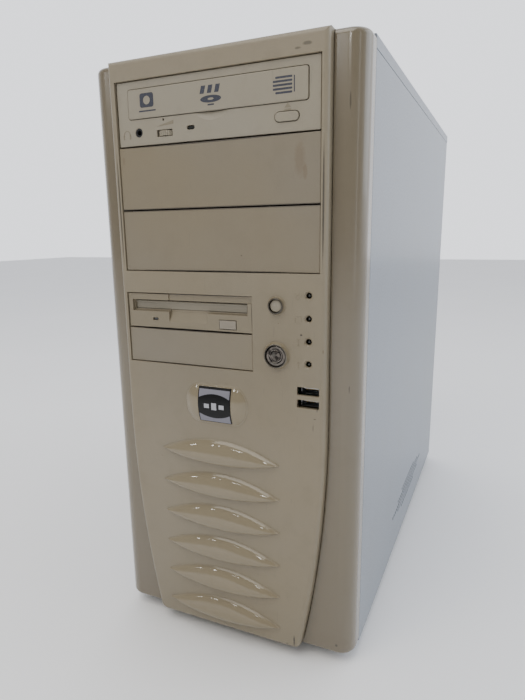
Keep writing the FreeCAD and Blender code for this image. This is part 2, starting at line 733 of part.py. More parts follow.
def thumbscrew(side, z):
    """A knurled thumbscrew through a cover's flange into the rear wall."""
    x = side * screw_x
    knob = rod_y(x, z, knob_y, knob_y + knob_length, knob_radius)
    knob = knob.makeFillet(0.6, [e for e in knob.Edges if e.BoundBox.YLength < 1e-6])
    count = 24
    grooves = []
    for i in range(count):
        turn = 2 * math.pi * i / count
        grooves.append(rod_y(x + knob_radius * math.cos(turn), z + knob_radius * math.sin(turn),
                             knob_y + 0.8, knob_y + knob_length - 0.8, 0.45))
    slot = centred(x, knob_y + knob_length - 1.4, knob_y + knob_length + 1, z, 9.0, 1.3)
    shank = rod_y(x, z, rear_y - 5, knob_y + 1, screw_radius)
    return joined([less(knob, grooves + [slot]), shank])


# ---- optical drive ----
optical_top = bay_top_z - 0.45
optical_foot = optical_top - drive_height
tray_low_z, tray_high_z = optical_foot + 17.3, optical_foot + 35.9
tray_left_x, tray_right_x = bay_centre_x - 64.4, bay_centre_x + 65.9
tray_middle_x = (tray_left_x + tray_right_x) / 2
tray_z = tray_low_z + 5.0
tray_thickness = 6.0
tray_length = 150.0
optical_case_y = drive_recess + 5.5
disc_y = optical_case_y + 76.0
eject_x, eject_z = 52.5, optical_foot + 9.0
jack_x, jack_z = -56.6, optical_foot + 8.4
jack_bore_radius = 1.8
wheel_x, wheel_z = -35.8, optical_foot + 6.8
wheel_radius = 8.0
wheel_axle = 1.6
wheel_y = drive_recess + wheel_radius - 0.6


def optical_case():
    """The drive's steel shell, open at the front."""
    left, right = bay_centre_x - drive_width / 2, bay_centre_x + drive_width / 2
    back = optical_case_y + drive_length
    shell = block(left, right, optical_case_y, back, optical_foot, optical_top)
    shell = shell.cut(block(left + sheet, right - sheet, optical_case_y - 1, back - sheet,
                            optical_foot + sheet, optical_top - sheet))
    ports = [block(bay_centre_x - 50, bay_centre_x + 4, back - 2, back + 1, optical_foot + 6,
                   optical_foot + 15),
             block(bay_centre_x + 30, bay_centre_x + 54, back - 2, back + 1, optical_foot + 6,
                   optical_foot + 15)]
    return less(shell, ports)


def optical_bezel():
    """The drive's face, with the tray mouth, finger scoop, wheel window, lamp slot and pinhole."""
    left, right = bay_centre_x - drive_width / 2 - 0.7, bay_centre_x + drive_width / 2 + 0.7
    face = soft_block(left, right, drive_recess, optical_case_y, optical_foot, optical_top, 0.6)
    front = [e for e in face.Edges if e.BoundBox.YLength < 1e-6 and e.BoundBox.YMin < drive_recess + 0.01]
    face = face.makeFillet(0.5, front)
    y0, y1 = drive_recess - 3, optical_case_y + 1
    cuts = [soft_block(tray_left_x - 0.5, tray_right_x + 0.5, y0, y1, tray_low_z - 0.5,
                       tray_high_z + 0.5, 2.0),
            soft_block(eject_x - 8.3, eject_x + 8.3, y0, y1, eject_z - 3.2, eject_z + 3.2, 3.1),
            rod_y(jack_x, jack_z, y0, y1, 3.0),
            block(wheel_x - 6.2, wheel_x + 6.2, y0, y1, wheel_z - 2.2, wheel_z + 2.2),
            soft_block(-18.4, -12.4, y0, y1, optical_foot + 7.2, optical_foot + 9.9, 1.3),
            rod_y(-36.4, optical_foot + 15.2, y0, y1, 0.8)]
    pocket = rod_z(wheel_x, wheel_y, wheel_z - 2.7, wheel_z + 2.7, wheel_radius + 0.4)
    cuts.append(pocket.common(block(wheel_x - 20, wheel_x + 20, drive_recess + 1.2, y1, wheel_z - 4,
                                    wheel_z + 4)))
    scoop = Part.makeSphere(60.0, V(bay_centre_x, drive_recess - 57.0, optical_foot + 30.5))
    cuts.append(scoop.common(block(-22, 24, y0, y1, optical_foot + 8, tray_low_z)))
    return less(face, cuts)


def tray_front():
    plate = soft_block(tray_left_x, tray_right_x, drive_recess - 0.8, optical_case_y - 0.5, tray_low_z,
                       tray_high_z, 1.6)
    front = [e for e in plate.Edges if e.BoundBox.YLength < 1e-6 and e.BoundBox.YMin < drive_recess]
    return plate.makeFillet(0.6, front)


def optical_tray():
    """The sliding tray with its two stepped disc wells and the slot that clears the spindle."""
    y0 = optical_case_y - 0.5
    body = block(tray_left_x + 1.5, tray_right_x - 1.5, y0, y0 + tray_length, tray_z,
                 tray_z + tray_thickness)
    body = body.makeFillet(4.0, [e for e in body.Edges if upright(e) and e.BoundBox.YMin > y0 + 1])
    top = tray_z + tray_thickness
    wells = [rod_z(tray_middle_x, disc_y, top - 2.6, top + 1, 60.5),
             rod_z(tray_middle_x, disc_y, top - 4.2, top - 2, 41.0)]
    slot = block(tray_middle_x - 19, tray_middle_x + 19, disc_y, y0 + tray_length + 1, tray_z - 1, top + 1)
    hub = rod_z(tray_middle_x, disc_y, tray_z - 1, top + 1, 19.0)
    rails = [block(tray_left_x + 1.5, tray_left_x + 4.5, y0 + 4, y0 + tray_length - 4, tray_z - 2.5,
                   tray_z + 1),
             block(tray_right_x - 4.5, tray_right_x - 1.5, y0 + 4, y0 + tray_length - 4, tray_z - 2.5,
                   tray_z + 1)]
    return joined([less(body, wells + [slot, hub])] + rails)


def disc_spindle():
    """The turntable and its motor, under the tray."""
    top = tray_z - 3.4
    parts = [rod_z(tray_middle_x, disc_y, top - 2.5, top, 15.0),
             rod_z(tray_middle_x, disc_y, top - 0.5, top + 2.4, 7.3),
             rod_z(tray_middle_x, disc_y, top - 8, top - 2, 11.0)]
    marks = [rod_z(tray_middle_x + 11.5 * math.cos(a), disc_y + 11.5 * math.sin(a), top - 0.6, top + 1, 1.2)
             for a in (0, 2 * math.pi / 3, 4 * math.pi / 3)]
    return less(joined(parts), marks)


def optical_carriage():
    """The plate in the optical drive that carries the spindle motor and the laser carriage."""
    top = tray_z - 3.4 - 8 - 0.4
    plate = block(tray_middle_x - 55, tray_middle_x + 55, disc_y - 60, disc_y + 75, top - 2, top)
    rods = [rod_y(tray_middle_x + s * 24, top + 3, disc_y + 15, disc_y + 70, 1.5) for s in (-1, 1)]
    carriage = block(tray_middle_x - 28, tray_middle_x + 28, disc_y + 30, disc_y + 52, top + 0.5, top + 6)
    lens = rod_z(tray_middle_x, disc_y + 41, top + 5, top + 7.5, 3.5)
    ends = [block(tray_middle_x - 28, tray_middle_x + 28, disc_y + 66, disc_y + 70, top - 1, top + 5)]
    guide_top = tray_z - 2.5 - running
    guides = [block(x, x + 5.0, optical_case_y + 22, disc_y + 75, top - 2, guide_top)
              for x in (tray_left_x + 1.0, tray_right_x - 6.0)]
    arms = [block(tray_left_x + 1.0, tray_right_x - 1.0, y, y + 10, top - 2, top) for y in (disc_y - 55,
            disc_y + 64)]
    return joined([plate, carriage, lens] + rods + ends + guides + arms)


def optical_eject_button():
    body = soft_block(eject_x - 7.8, eject_x + 7.8, drive_recess - 0.9, optical_case_y + 3,
                      eject_z - 2.7, eject_z + 2.7, 2.6)
    front = [e for e in body.Edges if e.BoundBox.YLength < 1e-6 and e.BoundBox.YMin < drive_recess]
    body = body.makeFillet(0.5, front)
    flange = centred(eject_x, optical_case_y + 1.8, optical_case_y + 3, eject_z, 18.6, 7.4)
    return joined([body, flange])


def volume_wheel():
    """The knurled thumb wheel, lying flat on an upright axle."""
    wheel = rod_z(wheel_x, wheel_y, wheel_z - 1.7, wheel_z + 1.7, wheel_radius)
    count = 30
    teeth = []
    for i in range(count):
        turn = 2 * math.pi * i / count
        teeth.append(rod_z(wheel_x + wheel_radius * math.cos(turn), wheel_y + wheel_radius * math.sin(turn),
                           wheel_z - 2, wheel_z + 2, 0.35))
    return joined([less(wheel, teeth), rod_z(wheel_x, wheel_y, optical_foot + 2.9, wheel_z + 2.4,
                                             wheel_axle)])


def headphone_jack():
    """The headphone socket on its small board, which also bears the volume wheel's axle."""
    barrel = rod_y(jack_x, jack_z, drive_recess + 0.4, optical_case_y + 2, 2.8)
    board_top = optical_foot + 2.6
    body = block(jack_x - 4.5, jack_x + 4.5, optical_case_y + 1, optical_case_y + 13, board_top - 0.1,
                 jack_z + 4.5)
    bore = rod_y(jack_x, jack_z, drive_recess - 1, optical_case_y + 11, jack_bore_radius)
    board = block(jack_x - 6, wheel_x + 9, optical_case_y + 0.2, optical_case_y + 20,
                  optical_foot + sheet, board_top)
    bearing = rod_z(wheel_x, wheel_y, board_top - 0.1, wheel_z - 1.7 - running, wheel_axle + 1.4)
    bearing = bearing.common(block(wheel_x - 5, wheel_x + 5, optical_case_y + 0.2, optical_case_y + 20,
                                   optical_foot, wheel_z))
    return less(joined([barrel, body, board, bearing]),
                [bore, rod_z(wheel_x, wheel_y, optical_foot + 2.0, wheel_z, wheel_axle + shaft_fit)])


# ---- floppy drive ----
floppy_top = small_bay_top_z - 0.5
floppy_foot = floppy_top - small_drive_height
floppy_face_y = 1.0
floppy_case_y = floppy_face_y + 5.0
mouth_left, mouth_right = small_bay_centre_x - 46.0, small_bay_centre_x + 46.2
mouth_low, mouth_high = floppy_foot + 13.4, floppy_foot + 17.3
flap_z = mouth_high + 1.4
flap_pin = 0.9
floppy_button_x, floppy_button_z = 8.3, floppy_foot + 5.0


def floppy_case():
    left, right = small_bay_centre_x - small_drive_width / 2, small_bay_centre_x + small_drive_width / 2
    shell = block(left, right, floppy_case_y, floppy_case_y + small_drive_length, floppy_foot, floppy_top)
    return shell.cut(block(left + sheet, right - sheet, floppy_case_y - 1,
                           floppy_case_y + small_drive_length - sheet,
                           floppy_foot + sheet, floppy_top - sheet))


def floppy_bezel():
    """The floppy drive's face: recessed mouth, finger notch, lamp slot and button window."""
    half = small_drive_width / 2 + 0.3
    left, right = small_bay_centre_x - half, small_bay_centre_x + half
    face = block(left, right, floppy_face_y, floppy_case_y, floppy_foot, floppy_top)
    front = [e for e in face.Edges if e.BoundBox.YLength < 1e-6 and e.BoundBox.YMin < floppy_face_y + 0.01]
    face = face.makeFillet(0.4, front)
    y0, y1 = floppy_face_y - 1, floppy_case_y + 1
    cuts = [block(mouth_left - 1.2, mouth_right + 1.2, y0, floppy_face_y + 2.4, mouth_low - 1.4,
                  mouth_high + 3.0),
            block(mouth_left, mouth_right, y0, y1, mouth_low, mouth_high + 2.8),
            block(-39.4, right + 1, y0, floppy_face_y + 0.8, mouth_high + 2.9, floppy_top + 1),
            block(-53.6, -49.0, y0, y1, floppy_foot + 5.4, floppy_foot + 7.4),
            centred(floppy_button_x, y0, y1, floppy_button_z, 13.6, 6.8)]
    cuts.append(rod_x(floppy_face_y + 3.6, flap_z, mouth_left - 1.0, mouth_right + 1.0,
                      flap_pin + shaft_fit))
    low, high = floppy_foot + 4.8, mouth_low + 0.1
    notch = Part.makePolygon([V(-39.4, y0, high), V(-39.4, floppy_face_y, low),
                              V(-39.4, floppy_face_y + 3.4, high - 2.0),
                              V(-39.4, floppy_face_y + 3.4, high), V(-39.4, y0, high)])
    cuts.append(Part.Face(notch).extrude(V(31.4, 0, 0)))
    return less(face, cuts)


def floppy_door():
    """The sprung dust flap behind the mouth, hung on a pin along its top edge."""
    y = floppy_face_y + 3.6
    leaf = block(mouth_left + 0.5, mouth_right - 0.5, y - 0.5, y + 0.5, mouth_low + 0.3, flap_z)
    return joined([leaf, rod_x(y, flap_z, mouth_left - 0.8, mouth_right + 0.8, flap_pin)])


def floppy_eject_button():
    body = centred(floppy_button_x, floppy_face_y - 0.6, floppy_case_y + 3, floppy_button_z, 12.8, 6.0)
    front = [e for e in body.Edges if e.BoundBox.YLength < 1e-6 and e.BoundBox.YMin < floppy_face_y]
    body = body.makeFillet(0.5, front)
    return joined([body, centred(floppy_button_x, floppy_case_y + 3, floppy_case_y + 40,
                                 floppy_button_z, 8, 1.2)])


# ---- hard disk ----
disk_foot = small_bay_foot_z - 2 * small_bay_pitch + 0.5
disk_y = chassis_y + sheet + 3


def hard_disk_body():
    """The sealed casting with its lid plate and spindle cap."""
    half = small_drive_width / 2
    x0, x1 = small_bay_centre_x - half, small_bay_centre_x + half
    casting = block(x0, x1, disk_y, disk_y + 146, disk_foot + 3, disk_foot + 23.5)
    casting = rounded_edges(casting, 3.0, upright)
    lid = block(x0 + 3, x1 - 3, disk_y + 3, disk_y + 143, disk_foot + 23.5, disk_foot + 25.5)
    lid = rounded_edges(lid, 6.0, upright)
    cap = rod_z(small_bay_centre_x, disk_y + 52, disk_foot + 25, disk_foot + 26, 14)
    return joined([casting, lid, cap])


def hard_disk_board():
    half = small_drive_width / 2 - 2
    board = block(small_bay_centre_x - half, small_bay_centre_x + half, disk_y + 40, disk_y + 145,
                  disk_foot + 1.4, disk_foot + 3)
    chips = [block(small_bay_centre_x - 20, small_bay_centre_x + 2, disk_y + 70, disk_y + 92, disk_foot,
                   disk_foot + 1.4),
             block(small_bay_centre_x + 14, small_bay_centre_x + 30, disk_y + 100, disk_y + 112,
                   disk_foot, disk_foot + 1.4)]
    return joined([board] + chips)


# ---- power supply ----
psu_fan_x, psu_fan_z = psu_centre_x - 24.0, psu_foot + psu_height / 2
inlet_x, inlet_z = psu_centre_x + 51.0, psu_foot + 58.0
inlet_width, inlet_height = 27.0, 19.5
rocker_x, rocker_z = psu_centre_x + 51.0, psu_foot + 33.0
psu_face_y = rear_y - sheet


def psu_case():
    """The power supply's steel box, with a stamped fan grille and front vents."""
    x0, x1 = psu_centre_x - psu_width / 2, psu_centre_x + psu_width / 2
    shell = block(x0, x1, psu_front_y, psu_face_y, psu_foot, psu_top)
    shell = shell.cut(block(x0 + sheet, x1 - sheet, psu_front_y + sheet, psu_face_y - sheet,
                            psu_foot + sheet, psu_top - sheet))
    y0, y1 = psu_face_y - sheet - 1, psu_face_y + 1
    cuts = ring_slots(psu_fan_x, psu_fan_z, y0, y1, 8.0, fan_side / 2 - 2, 5, 4.5)
    cuts.append(centred(inlet_x, y0, y1, inlet_z, inlet_width, inlet_height))
    cuts.append(centred(rocker_x, y0, y1, rocker_z, 19.4, 13.0))
    for i in range(9):
        x = x0 + 18 + i * 14
        cuts.append(centred(x, psu_front_y - 1, psu_front_y + sheet + 1, psu_foot + 50, 5, 48))
    cuts.append(rod_y(x0 + 20, psu_foot + 12, psu_front_y - 1, psu_front_y + sheet + 1, 7))
    cuts += [rod_y(x, z, y0, y1, screw_shank) for x, z in psu_screw_places()]
    return less(shell, cuts)


def psu_inlet():
    """The mains inlet: a chamfered socket with three blades."""
    flange = centred(inlet_x, psu_face_y, psu_face_y + 1.8, inlet_z, inlet_width + 5, inlet_height + 4)
    flange = rounded_edges(flange, 2.5, along_y)
    body = centred(inlet_x, psu_face_y - 20, psu_face_y, inlet_z, inlet_width - 1, inlet_height - 1)
    well = centred(inlet_x, psu_face_y - 16, psu_face_y + 3, inlet_z, 24.0, 16.4)
    shoulders = [e for e in well.Edges if along_y(e) and e.BoundBox.ZMin > inlet_z]
    well = well.makeChamfer(4.0, shoulders)
    shell = joined([flange, body]).cut(well)
    blades = [centred(inlet_x - 7, psu_face_y - 17, psu_face_y - 3, inlet_z - 2.0, 2.0, 4.0),
              centred(inlet_x + 7, psu_face_y - 17, psu_face_y - 3, inlet_z - 2.0, 2.0, 4.0),
              centred(inlet_x, psu_face_y - 17, psu_face_y - 2, inlet_z + 2.0, 2.0, 4.0)]
    return joined([shell] + blades)


rocker_pivot_y = psu_face_y - 2.0
rocker_tilt = 9.0
rocker_pin = 1.1


def psu_switch_housing():
    frame = centred(rocker_x, psu_face_y, psu_face_y + 1.4, rocker_z, 22, 15.6)
    frame = rounded_edges(frame, 1.5, along_y)
    body = centred(rocker_x, psu_face_y - 14, psu_face_y, rocker_z, 19.0, 12.6)
    hole = centred(rocker_x, psu_face_y - 12, psu_face_y + 3, rocker_z, 16.0, 10.2)
    ears = rod_x(rocker_pivot_y, rocker_z, rocker_x - 8.7, rocker_x + 8.7, rocker_pin + shaft_fit)
    return joined([frame, body]).cut(hole).cut(ears)


def psu_rocker():
    """The on/off rocker, pivoted on a cross pin through its middle."""
    y = rocker_pivot_y
    outline = Part.makePolygon([V(0, y + 3.4, rocker_z - 4.2), V(0, y + 2.4, rocker_z),
                                V(0, y + 3.4, rocker_z + 4.2),
                                V(0, y - 4.0, rocker_z + 3.2), V(0, y - 4.0, rocker_z - 3.2), V(0,
                                        y + 3.4, rocker_z - 4.2)])
    body = Part.Face(outline).extrude(V(15.0, 0, 0))
    body.translate(V(rocker_x - 7.5, 0, 0))
    body.rotate(V(0, y, rocker_z), V(1, 0, 0), -rocker_tilt)
    pin = rod_x(y, rocker_z, rocker_x - 8.5, rocker_x + 8.5, rocker_pin)
    return joined([body, pin])


def psu_board():
    """The circuit inside the power supply: board, transformer, capacitors and finned heat sinks."""
    x0, x1 = psu_centre_x - psu_width / 2 + 4, psu_centre_x + psu_width / 2 - 4
    y0, y1 = psu_front_y + 6, psu_face_y - fan_depth - 8
    z = psu_foot + 5
    board = block(x0, x1, y0, y1, z, z + 1.6)
    parts = [board, block(x0 + 58, x0 + 94, y0 + 30, y0 + 66, z + 1, z + 34),
             rod_z(x0 + 20, y0 + 68, z + 1, z + 46, 11), rod_z(x0 + 20, y0 + 92 - 6 - 46, z + 1, z + 46,
                     11)]
    for x in (x0 + 42, x0 + 106):
        parts.append(block(x, x + 3, y0 + 8, y1 - 8, z + 1, z + 56))
        parts += [block(x - 5, x + 8, y0 + 12 + i * 12, y0 + 14 + i * 12, z + 44, z + 56) for i in range(6)]
    posts = [rod_z(x, y, psu_foot + sheet, z + 0.5, 2.5) for x in (x0 + 5, x1 - 5) for y in (y0 + 5,
            y1 - 5)]
    return joined(parts + posts)


# ---- fans ----
def fan_frame(x, z, y0, side, depth, pitch):
    """A square fan frame with a round duct, a motor mount and four spokes at the front."""
    frame = centred(x, y0, y0 + depth, z, side, side)
    frame = rounded_edges(frame, 4.0, along_y)
    frame = frame.cut(rod_y(x, z, y0 - 1, y0 + depth + 1, side / 2 - 1.8))
    hub = rod_y(x, z, y0 + 0.8, y0 + 3.6, side * 0.2)
    spokes = [centred(x, y0 + 1.0, y0 + 3.4, z, side - 2, 3.0),
              centred(x, y0 + 1.0, y0 + 3.4, z, 3.0, side - 2)]
    holes = [rod_y(a, b, y0 - 1, y0 + depth + 1, 2.2) for a, b in fan_corners(x, z, pitch)]
    holes.append(rod_y(x, z, y0, y0 + 5, fan_shaft_radius + shaft_fit))
    return less(joined([frame, hub] + spokes), holes)


def blade(radius_in, radius_out, depth, lean):
    """One fan blade, along +X on a fan that turns about Y: a thin sheet whose pitch eases off outwards."""
    sections = []
    for i in range(4):
        r = radius_in + (radius_out - radius_in) * i / 3
        angle = math.radians(lean * (1 - 0.3 * i / 3))
        chord = depth / math.sin(angle)
        half_y, half_z = depth / 2, chord * math.cos(angle) / 2
        sweep = 0.25 * (r - radius_in)
        thick = 0.7
        points = [V(r, -half_y, -half_z + sweep - thick), V(r, -half_y, -half_z + sweep + thick),
                  V(r, half_y, half_z + sweep + thick), V(r, half_y, half_z + sweep - thick),
                  V(r, -half_y, -half_z + sweep - thick)]
        sections.append(Part.makePolygon(points))
    return Part.makeLoft(sections, True, False)


def fan_rotor(x, z, y0, side, depth, count):
    """A hub cup with its blades, in front of the motor mount."""
    hub_radius = side * 0.21
    y_low, y_high = y0 + 4.2, y0 + depth - 1.0
    hub = rod_y(x, z, y_low, y_high, hub_radius)
    outer_rim = [e for e in hub.Edges if e.BoundBox.YLength < 1e-6 and e.BoundBox.YMin > y_high - 0.01]
    hub = hub.makeFillet(1.5, outer_rim)
    span = y_high - y_low - 2.0
    vane = blade(hub_radius - 1.0, side / 2 - 3.2, span, 38.0)
    vane.translate(V(x, (y_low + y_high) / 2, z))
    sweep_room = rod_y(x, z, y_low + 0.6, y_high - 0.4, side / 2 - 2.8)
    vane = vane.common(sweep_room)
    vanes = []
    for i in range(count):
        copy = vane.copy()
        copy.rotate(V(x, 0, z), V(0, 1, 0), 360.0 * i / count)
        vanes.append(copy)
    return joined([hub, rod_y(x, z, y0 + 1.2, y_low + 1, fan_shaft_radius)] + vanes)


# ---- motherboard and what it carries ----
def motherboard():
    """The bare board with its mounting holes."""
    x0, x1 = board_face_x, board_plane_x
    board = block(x0, x1, board_rear_y - board_length, board_rear_y, board_foot_z, board_top_z)
    return less(board, [rod_x(y, z, x0 - 1, x1 + 1, 1.9) for y, z in board_holes()])


def on_board(y, z, depth, height, proud):
    """A component standing on the motherboard: depth along Y, height along Z."""
    return block(board_face_x - proud, board_face_x, y - depth / 2, y + depth / 2, z - height / 2,
                 z + height / 2)


def board_components():
    """Bridge chips, sockets, headers, coils and capacitors."""
    rear = board_rear_y
    parts = [on_board(cpu_y, cpu_z, 56, 62, 6.0),
             on_board(rear - 150, 175, 34, 34, 8.0),
             on_board(rear - 196, 120, 28, 28, 2.5),
             on_board(rear - 234, 262, 8, 56, 9.0),
             on_board(rear - 222, 262, 8, 56, 9.0),
             on_board(rear - 234, 190, 8, 42, 9.0),
             on_board(rear - 210, 60, 18, 18, 1.8),
             on_board(rear - 226, 30, 10, 26, 7.0),
             on_board(rear - 60, 316, 52, 10, 14.0)]
    spots = [(rear - 92, 306), (rear - 78, 300), (rear - 70, 286), (rear - 70, 272), (rear - 70, 246),
             (rear - 70, 232),
             (rear - 168, 232), (rear - 168, 218), (rear - 150, 204), (rear - 136, 204), (rear - 180, 90)]
    for y, z in spots:
        parts.append(rod_x(y, z, board_face_x - 14, board_face_x, 4.4))
    parts.append(rod_x(rear - 200, 160, board_face_x - 3.5, board_face_x, 10.0))
    return group(parts)


memory_ys = (board_rear_y - 188.0, board_rear_y - 176.0, board_rear_y - 200.0)
memory_z = 246.0


def memory_sockets():
    """Three upright sockets, each with a latch post at both ends."""
    sockets = []
    for y in memory_ys:
        rail = block(board_face_x - 9, board_face_x, y - 3.2, y + 3.2, memory_z - 70, memory_z + 70)
        rail = rail.cut(block(board_face_x - 10, board_face_x - 3, y - 0.9, y + 0.9, memory_z - 67.4,
                              memory_z + 67.4))
        ends = [block(board_face_x - 16, board_face_x, y - 3.0, y + 3.0, memory_z + s * 72 - 3.5,
                      memory_z + s * 72 + 3.5)
                for s in (-1, 1)]
        sockets.append(joined([rail] + ends))
    return sockets


def memory_modules():
    """Two modules, each a thin board with chips on one face."""
    modules = []
    for y in memory_ys[:2]:
        board = block(board_face_x - 35, board_face_x - 3.6, y - 0.65, y + 0.65, memory_z - 66.6,
                      memory_z + 66.6)
        chips = [block(board_face_x - 31, board_face_x - 19, y + 0.65, y + 1.85, memory_z - 62 + i * 16,
                       memory_z - 52 + i * 16)
                 for i in range(8)]
        modules.append(joined([board] + chips))
    return group(modules)


def slot_z(i):
    """Height of the card plane of slot i, counted up from the lowest."""
    return slot_low_z + i * slot_pitch


def expansion_slots():
    """The card connectors on the motherboard: five long, one set further in."""
    made = []
    for i in range(1, slot_count):
        reach = 85.0 if i < slot_count - 1 else 74.0
        y1 = board_rear_y - (48.0 if i < slot_count - 1 else 60.0)
        rail = block(board_face_x - 11, board_face_x, y1 - reach, y1, slot_z(i) - 4.2, slot_z(i) + 4.2)
        made.append(rail.cut(block(board_face_x - 12, board_face_x - 3, y1 - reach + 3, y1 - 3,
                                   slot_z(i) - 1.1, slot_z(i) + 1.1)))
    return made


def board_sockets():
    return group(memory_sockets() + expansion_slots())


bracket_y = rear_y - sheet


def bracket(z):
    """A card bracket or blank: a plate behind the rear wall with a foot bent over at its screw end."""
    x0, x1 = slot_x - slot_width / 2 - 8, slot_x + slot_width / 2 + 4
    plate = block(x0, x1, bracket_y - 1.0, bracket_y, z - 9.2, z + 9.2)
    tab = block(x0, x0 + 1.0, bracket_y - 11.0, bracket_y, z - 9.2, z + 6.0)
    plate = joined([plate, tab])
    return plate


def slot_covers():
    return group([bracket(slot_z(i)) for i in range(slot_count - 1)])


def graphics_card():
    """The card in the top slot: bracket, board, cooler, chips and its monitor socket."""
    z = slot_z(slot_count - 1)
    x1 = board_face_x - 3.6
    x0 = x1 - 104
    y1 = bracket_y - 2.5
    board = block(x0, x1 - 7.6, y1 - 168, y1, z - 0.8, z + 0.8)
    edge_y = board_rear_y - 60
    edge = block(x1 - 8, x1, edge_y - 70.5, edge_y - 3.5, z - 0.8, z + 0.8)
    lower = [block(x0 + 40, x0 + 80, y1 - 100, y1 - 60, z - 10, z - 0.8),
             block(x0 + 12, x0 + 24, y1 - 90, y1 - 68, z - 2, z - 0.8),
             block(x0 + 12, x0 + 24, y1 - 60, y1 - 38, z - 2, z - 0.8),
             block(x0 + 44, x0 + 66, y1 - 140, y1 - 128, z - 2, z - 0.8)]
    flange = block(x1 - 62, x1 - 31, y1 - 12, rear_y + 0.6, z - 6.0, z + 6.0)
    shell = soft_block(x1 - 56, x1 - 37, y1 - 12, rear_y + 5.5, z - 4.6, z + 4.6, 3.0)
    return joined([bracket(z), board, edge, flange, shell] + lower)


def io_shield():
    """The thin plate round the rear ports."""
    x0, x1 = board_face_x - 1.5 - io_width, board_face_x - 1.5
    plate = block(x0 + 0.3, x1 - 0.3, rear_y - sheet - 0.4, rear_y + 0.3, io_foot_z + 0.3,
                  io_foot_z + io_height - 0.3)
    cuts = [block(p[0] - 0.3, p[1] + 0.3, rear_y - 4, rear_y + 2, p[2] - 0.3,
                  p[3] + 0.3) for p in port_boxes()]
    return less(plate, cuts)


def port_boxes():
    """x and z limits of each rear port block, from the top down."""
    x1 = board_face_x - 3.0
    top = io_foot_z + io_height - 6
    return [(x1 - 27, x1, top - 14, top),
            (x1 - 16, x1, top - 32, top - 18),
            (x1 - 12.5, x1, top - 67, top - 36),
            (x1 - 39, x1 - 16.5, top - 90, top - 36 + 16),
            (x1 - 12.5, x1, top - 102, top - 71),
            (x1 - 12.5, x1, top - 145, top - 106)]


def io_ports():
    """The block of rear connectors: keyboard and mouse, USB, serial, printer, game and audio."""
    made = []
    for x0, x1, z0, z1 in port_boxes():
        body = block(x0, x1, board_rear_y - 20, rear_y + 4.5, z0, z1)
        foot = block(x1 - 1, board_face_x, board_rear_y - 20, board_rear_y - 6, z0 + 1, z1 - 1)
        body = rounded_edges(body, 0.8, along_y)
        made.append(joined([body, foot]) if x1 > board_face_x - 5 else body)
    return group(made)


def cpu_heatsink():
    """A finned aluminium heat sink on the processor socket."""
    base_x = board_face_x - 6.0
    base = block(base_x - 7, base_x, cpu_y - 31, cpu_y + 31, cpu_z - 31, cpu_z + 31)
    fins = [block(base_x - 33, base_x - 7, cpu_y - 31, cpu_y + 31, cpu_z - 31 + i * 4.1,
                  cpu_z - 31 + i * 4.1 + 1.1)
            for i in range(15)]
    return joined([base] + fins)


cpu_fan_x = board_face_x - 6.0 - 33.0


def on_heatsink(shape):
    """Turns a fan part built at the origin so that it lies on the heat sink, facing away from the board."""
    shape.rotate(V(0, 0, 0), V(0, 0, 1), 90)
    shape.translate(V(cpu_fan_x, cpu_y, cpu_z))
    return shape


def cpu_fan_frame():
    return on_heatsink(fan_frame(0, 0, 0, cpu_fan_side, cpu_fan_depth, 50.0))


def cpu_fan_rotor():
    return on_heatsink(fan_rotor(0, 0, 0, cpu_fan_side, cpu_fan_depth, 7))


# ---- screws ----
def screw(x, z, y, length):
    """A hexagon-headed screw driven in from behind; y is the face its head rests on."""
    head = Part.Face(Part.makePolygon([V(x + 3.2 * math.cos(math.radians(60 * i)), y,
                                         z + 3.2 * math.sin(math.radians(60 * i))) for i in range(7)]))
    head = head.extrude(V(0, 2.2, 0))
    head = less(head, [centred(x, y + 1.2, y + 3, z, 4.4, 0.9), centred(x, y + 1.2, y + 3, z, 0.9, 4.4)])
    return joined([head, rod_y(x, z, y - length, y + 0.5, screw_shank)])


def psu_screw_places():
    return [(psu_centre_x + dx, psu_foot + dz) for dx, dz in ((-69, 16), (-69, 76), (43, 76), (69, 6))]


def case_screws():
    """The screws seen from behind: four for the power supply and four for the fan."""
    made = [screw(x, z, rear_y, 6.0) for x, z in psu_screw_places()]
    made += [screw(x, z, rear_y, 6.0) for x, z in fan_corners(rear_fan_x, rear_fan_z, fan_hole_pitch)]
    return group(made)


def rear_fan_frame():
    return fan_frame(rear_fan_x, rear_fan_z, rear_y - sheet - fan_depth, fan_side, fan_depth,
                     fan_hole_pitch)


def rear_fan_rotor():
    return fan_rotor(rear_fan_x, rear_fan_z, rear_y - sheet - fan_depth, fan_side, fan_depth, 7)


def psu_fan_frame():
    y = psu_face_y - sheet - fan_depth
    return fan_frame(psu_fan_x, psu_fan_z, y, fan_side, fan_depth, fan_hole_pitch)


def psu_fan_rotor():
    y = psu_face_y - sheet - fan_depth
    return fan_rotor(psu_fan_x, psu_fan_z, y, fan_side, fan_depth, 7)


# ---- every piece, by name ----
def bay_covers():
    lower = [bay_top_z - (i + 1) * bay_pitch for i in (1, 2)]
    return group([bay_blank(bay_centre_x, bay_width, z, z + bay_pitch) for z in lower])


def small_bay_cover():
    return bay_blank(small_bay_centre_x, small_bay_width, small_bay_foot_z,
                     small_bay_foot_z + small_bay_pitch)


def right_panel():
    return less(side_cover(), vent_holes())


def left_panel():
    return mirrored(right_panel())


def thumbscrew_at(side, place):
    return lambda: thumbscrew(side, thumbscrew_zs[place])


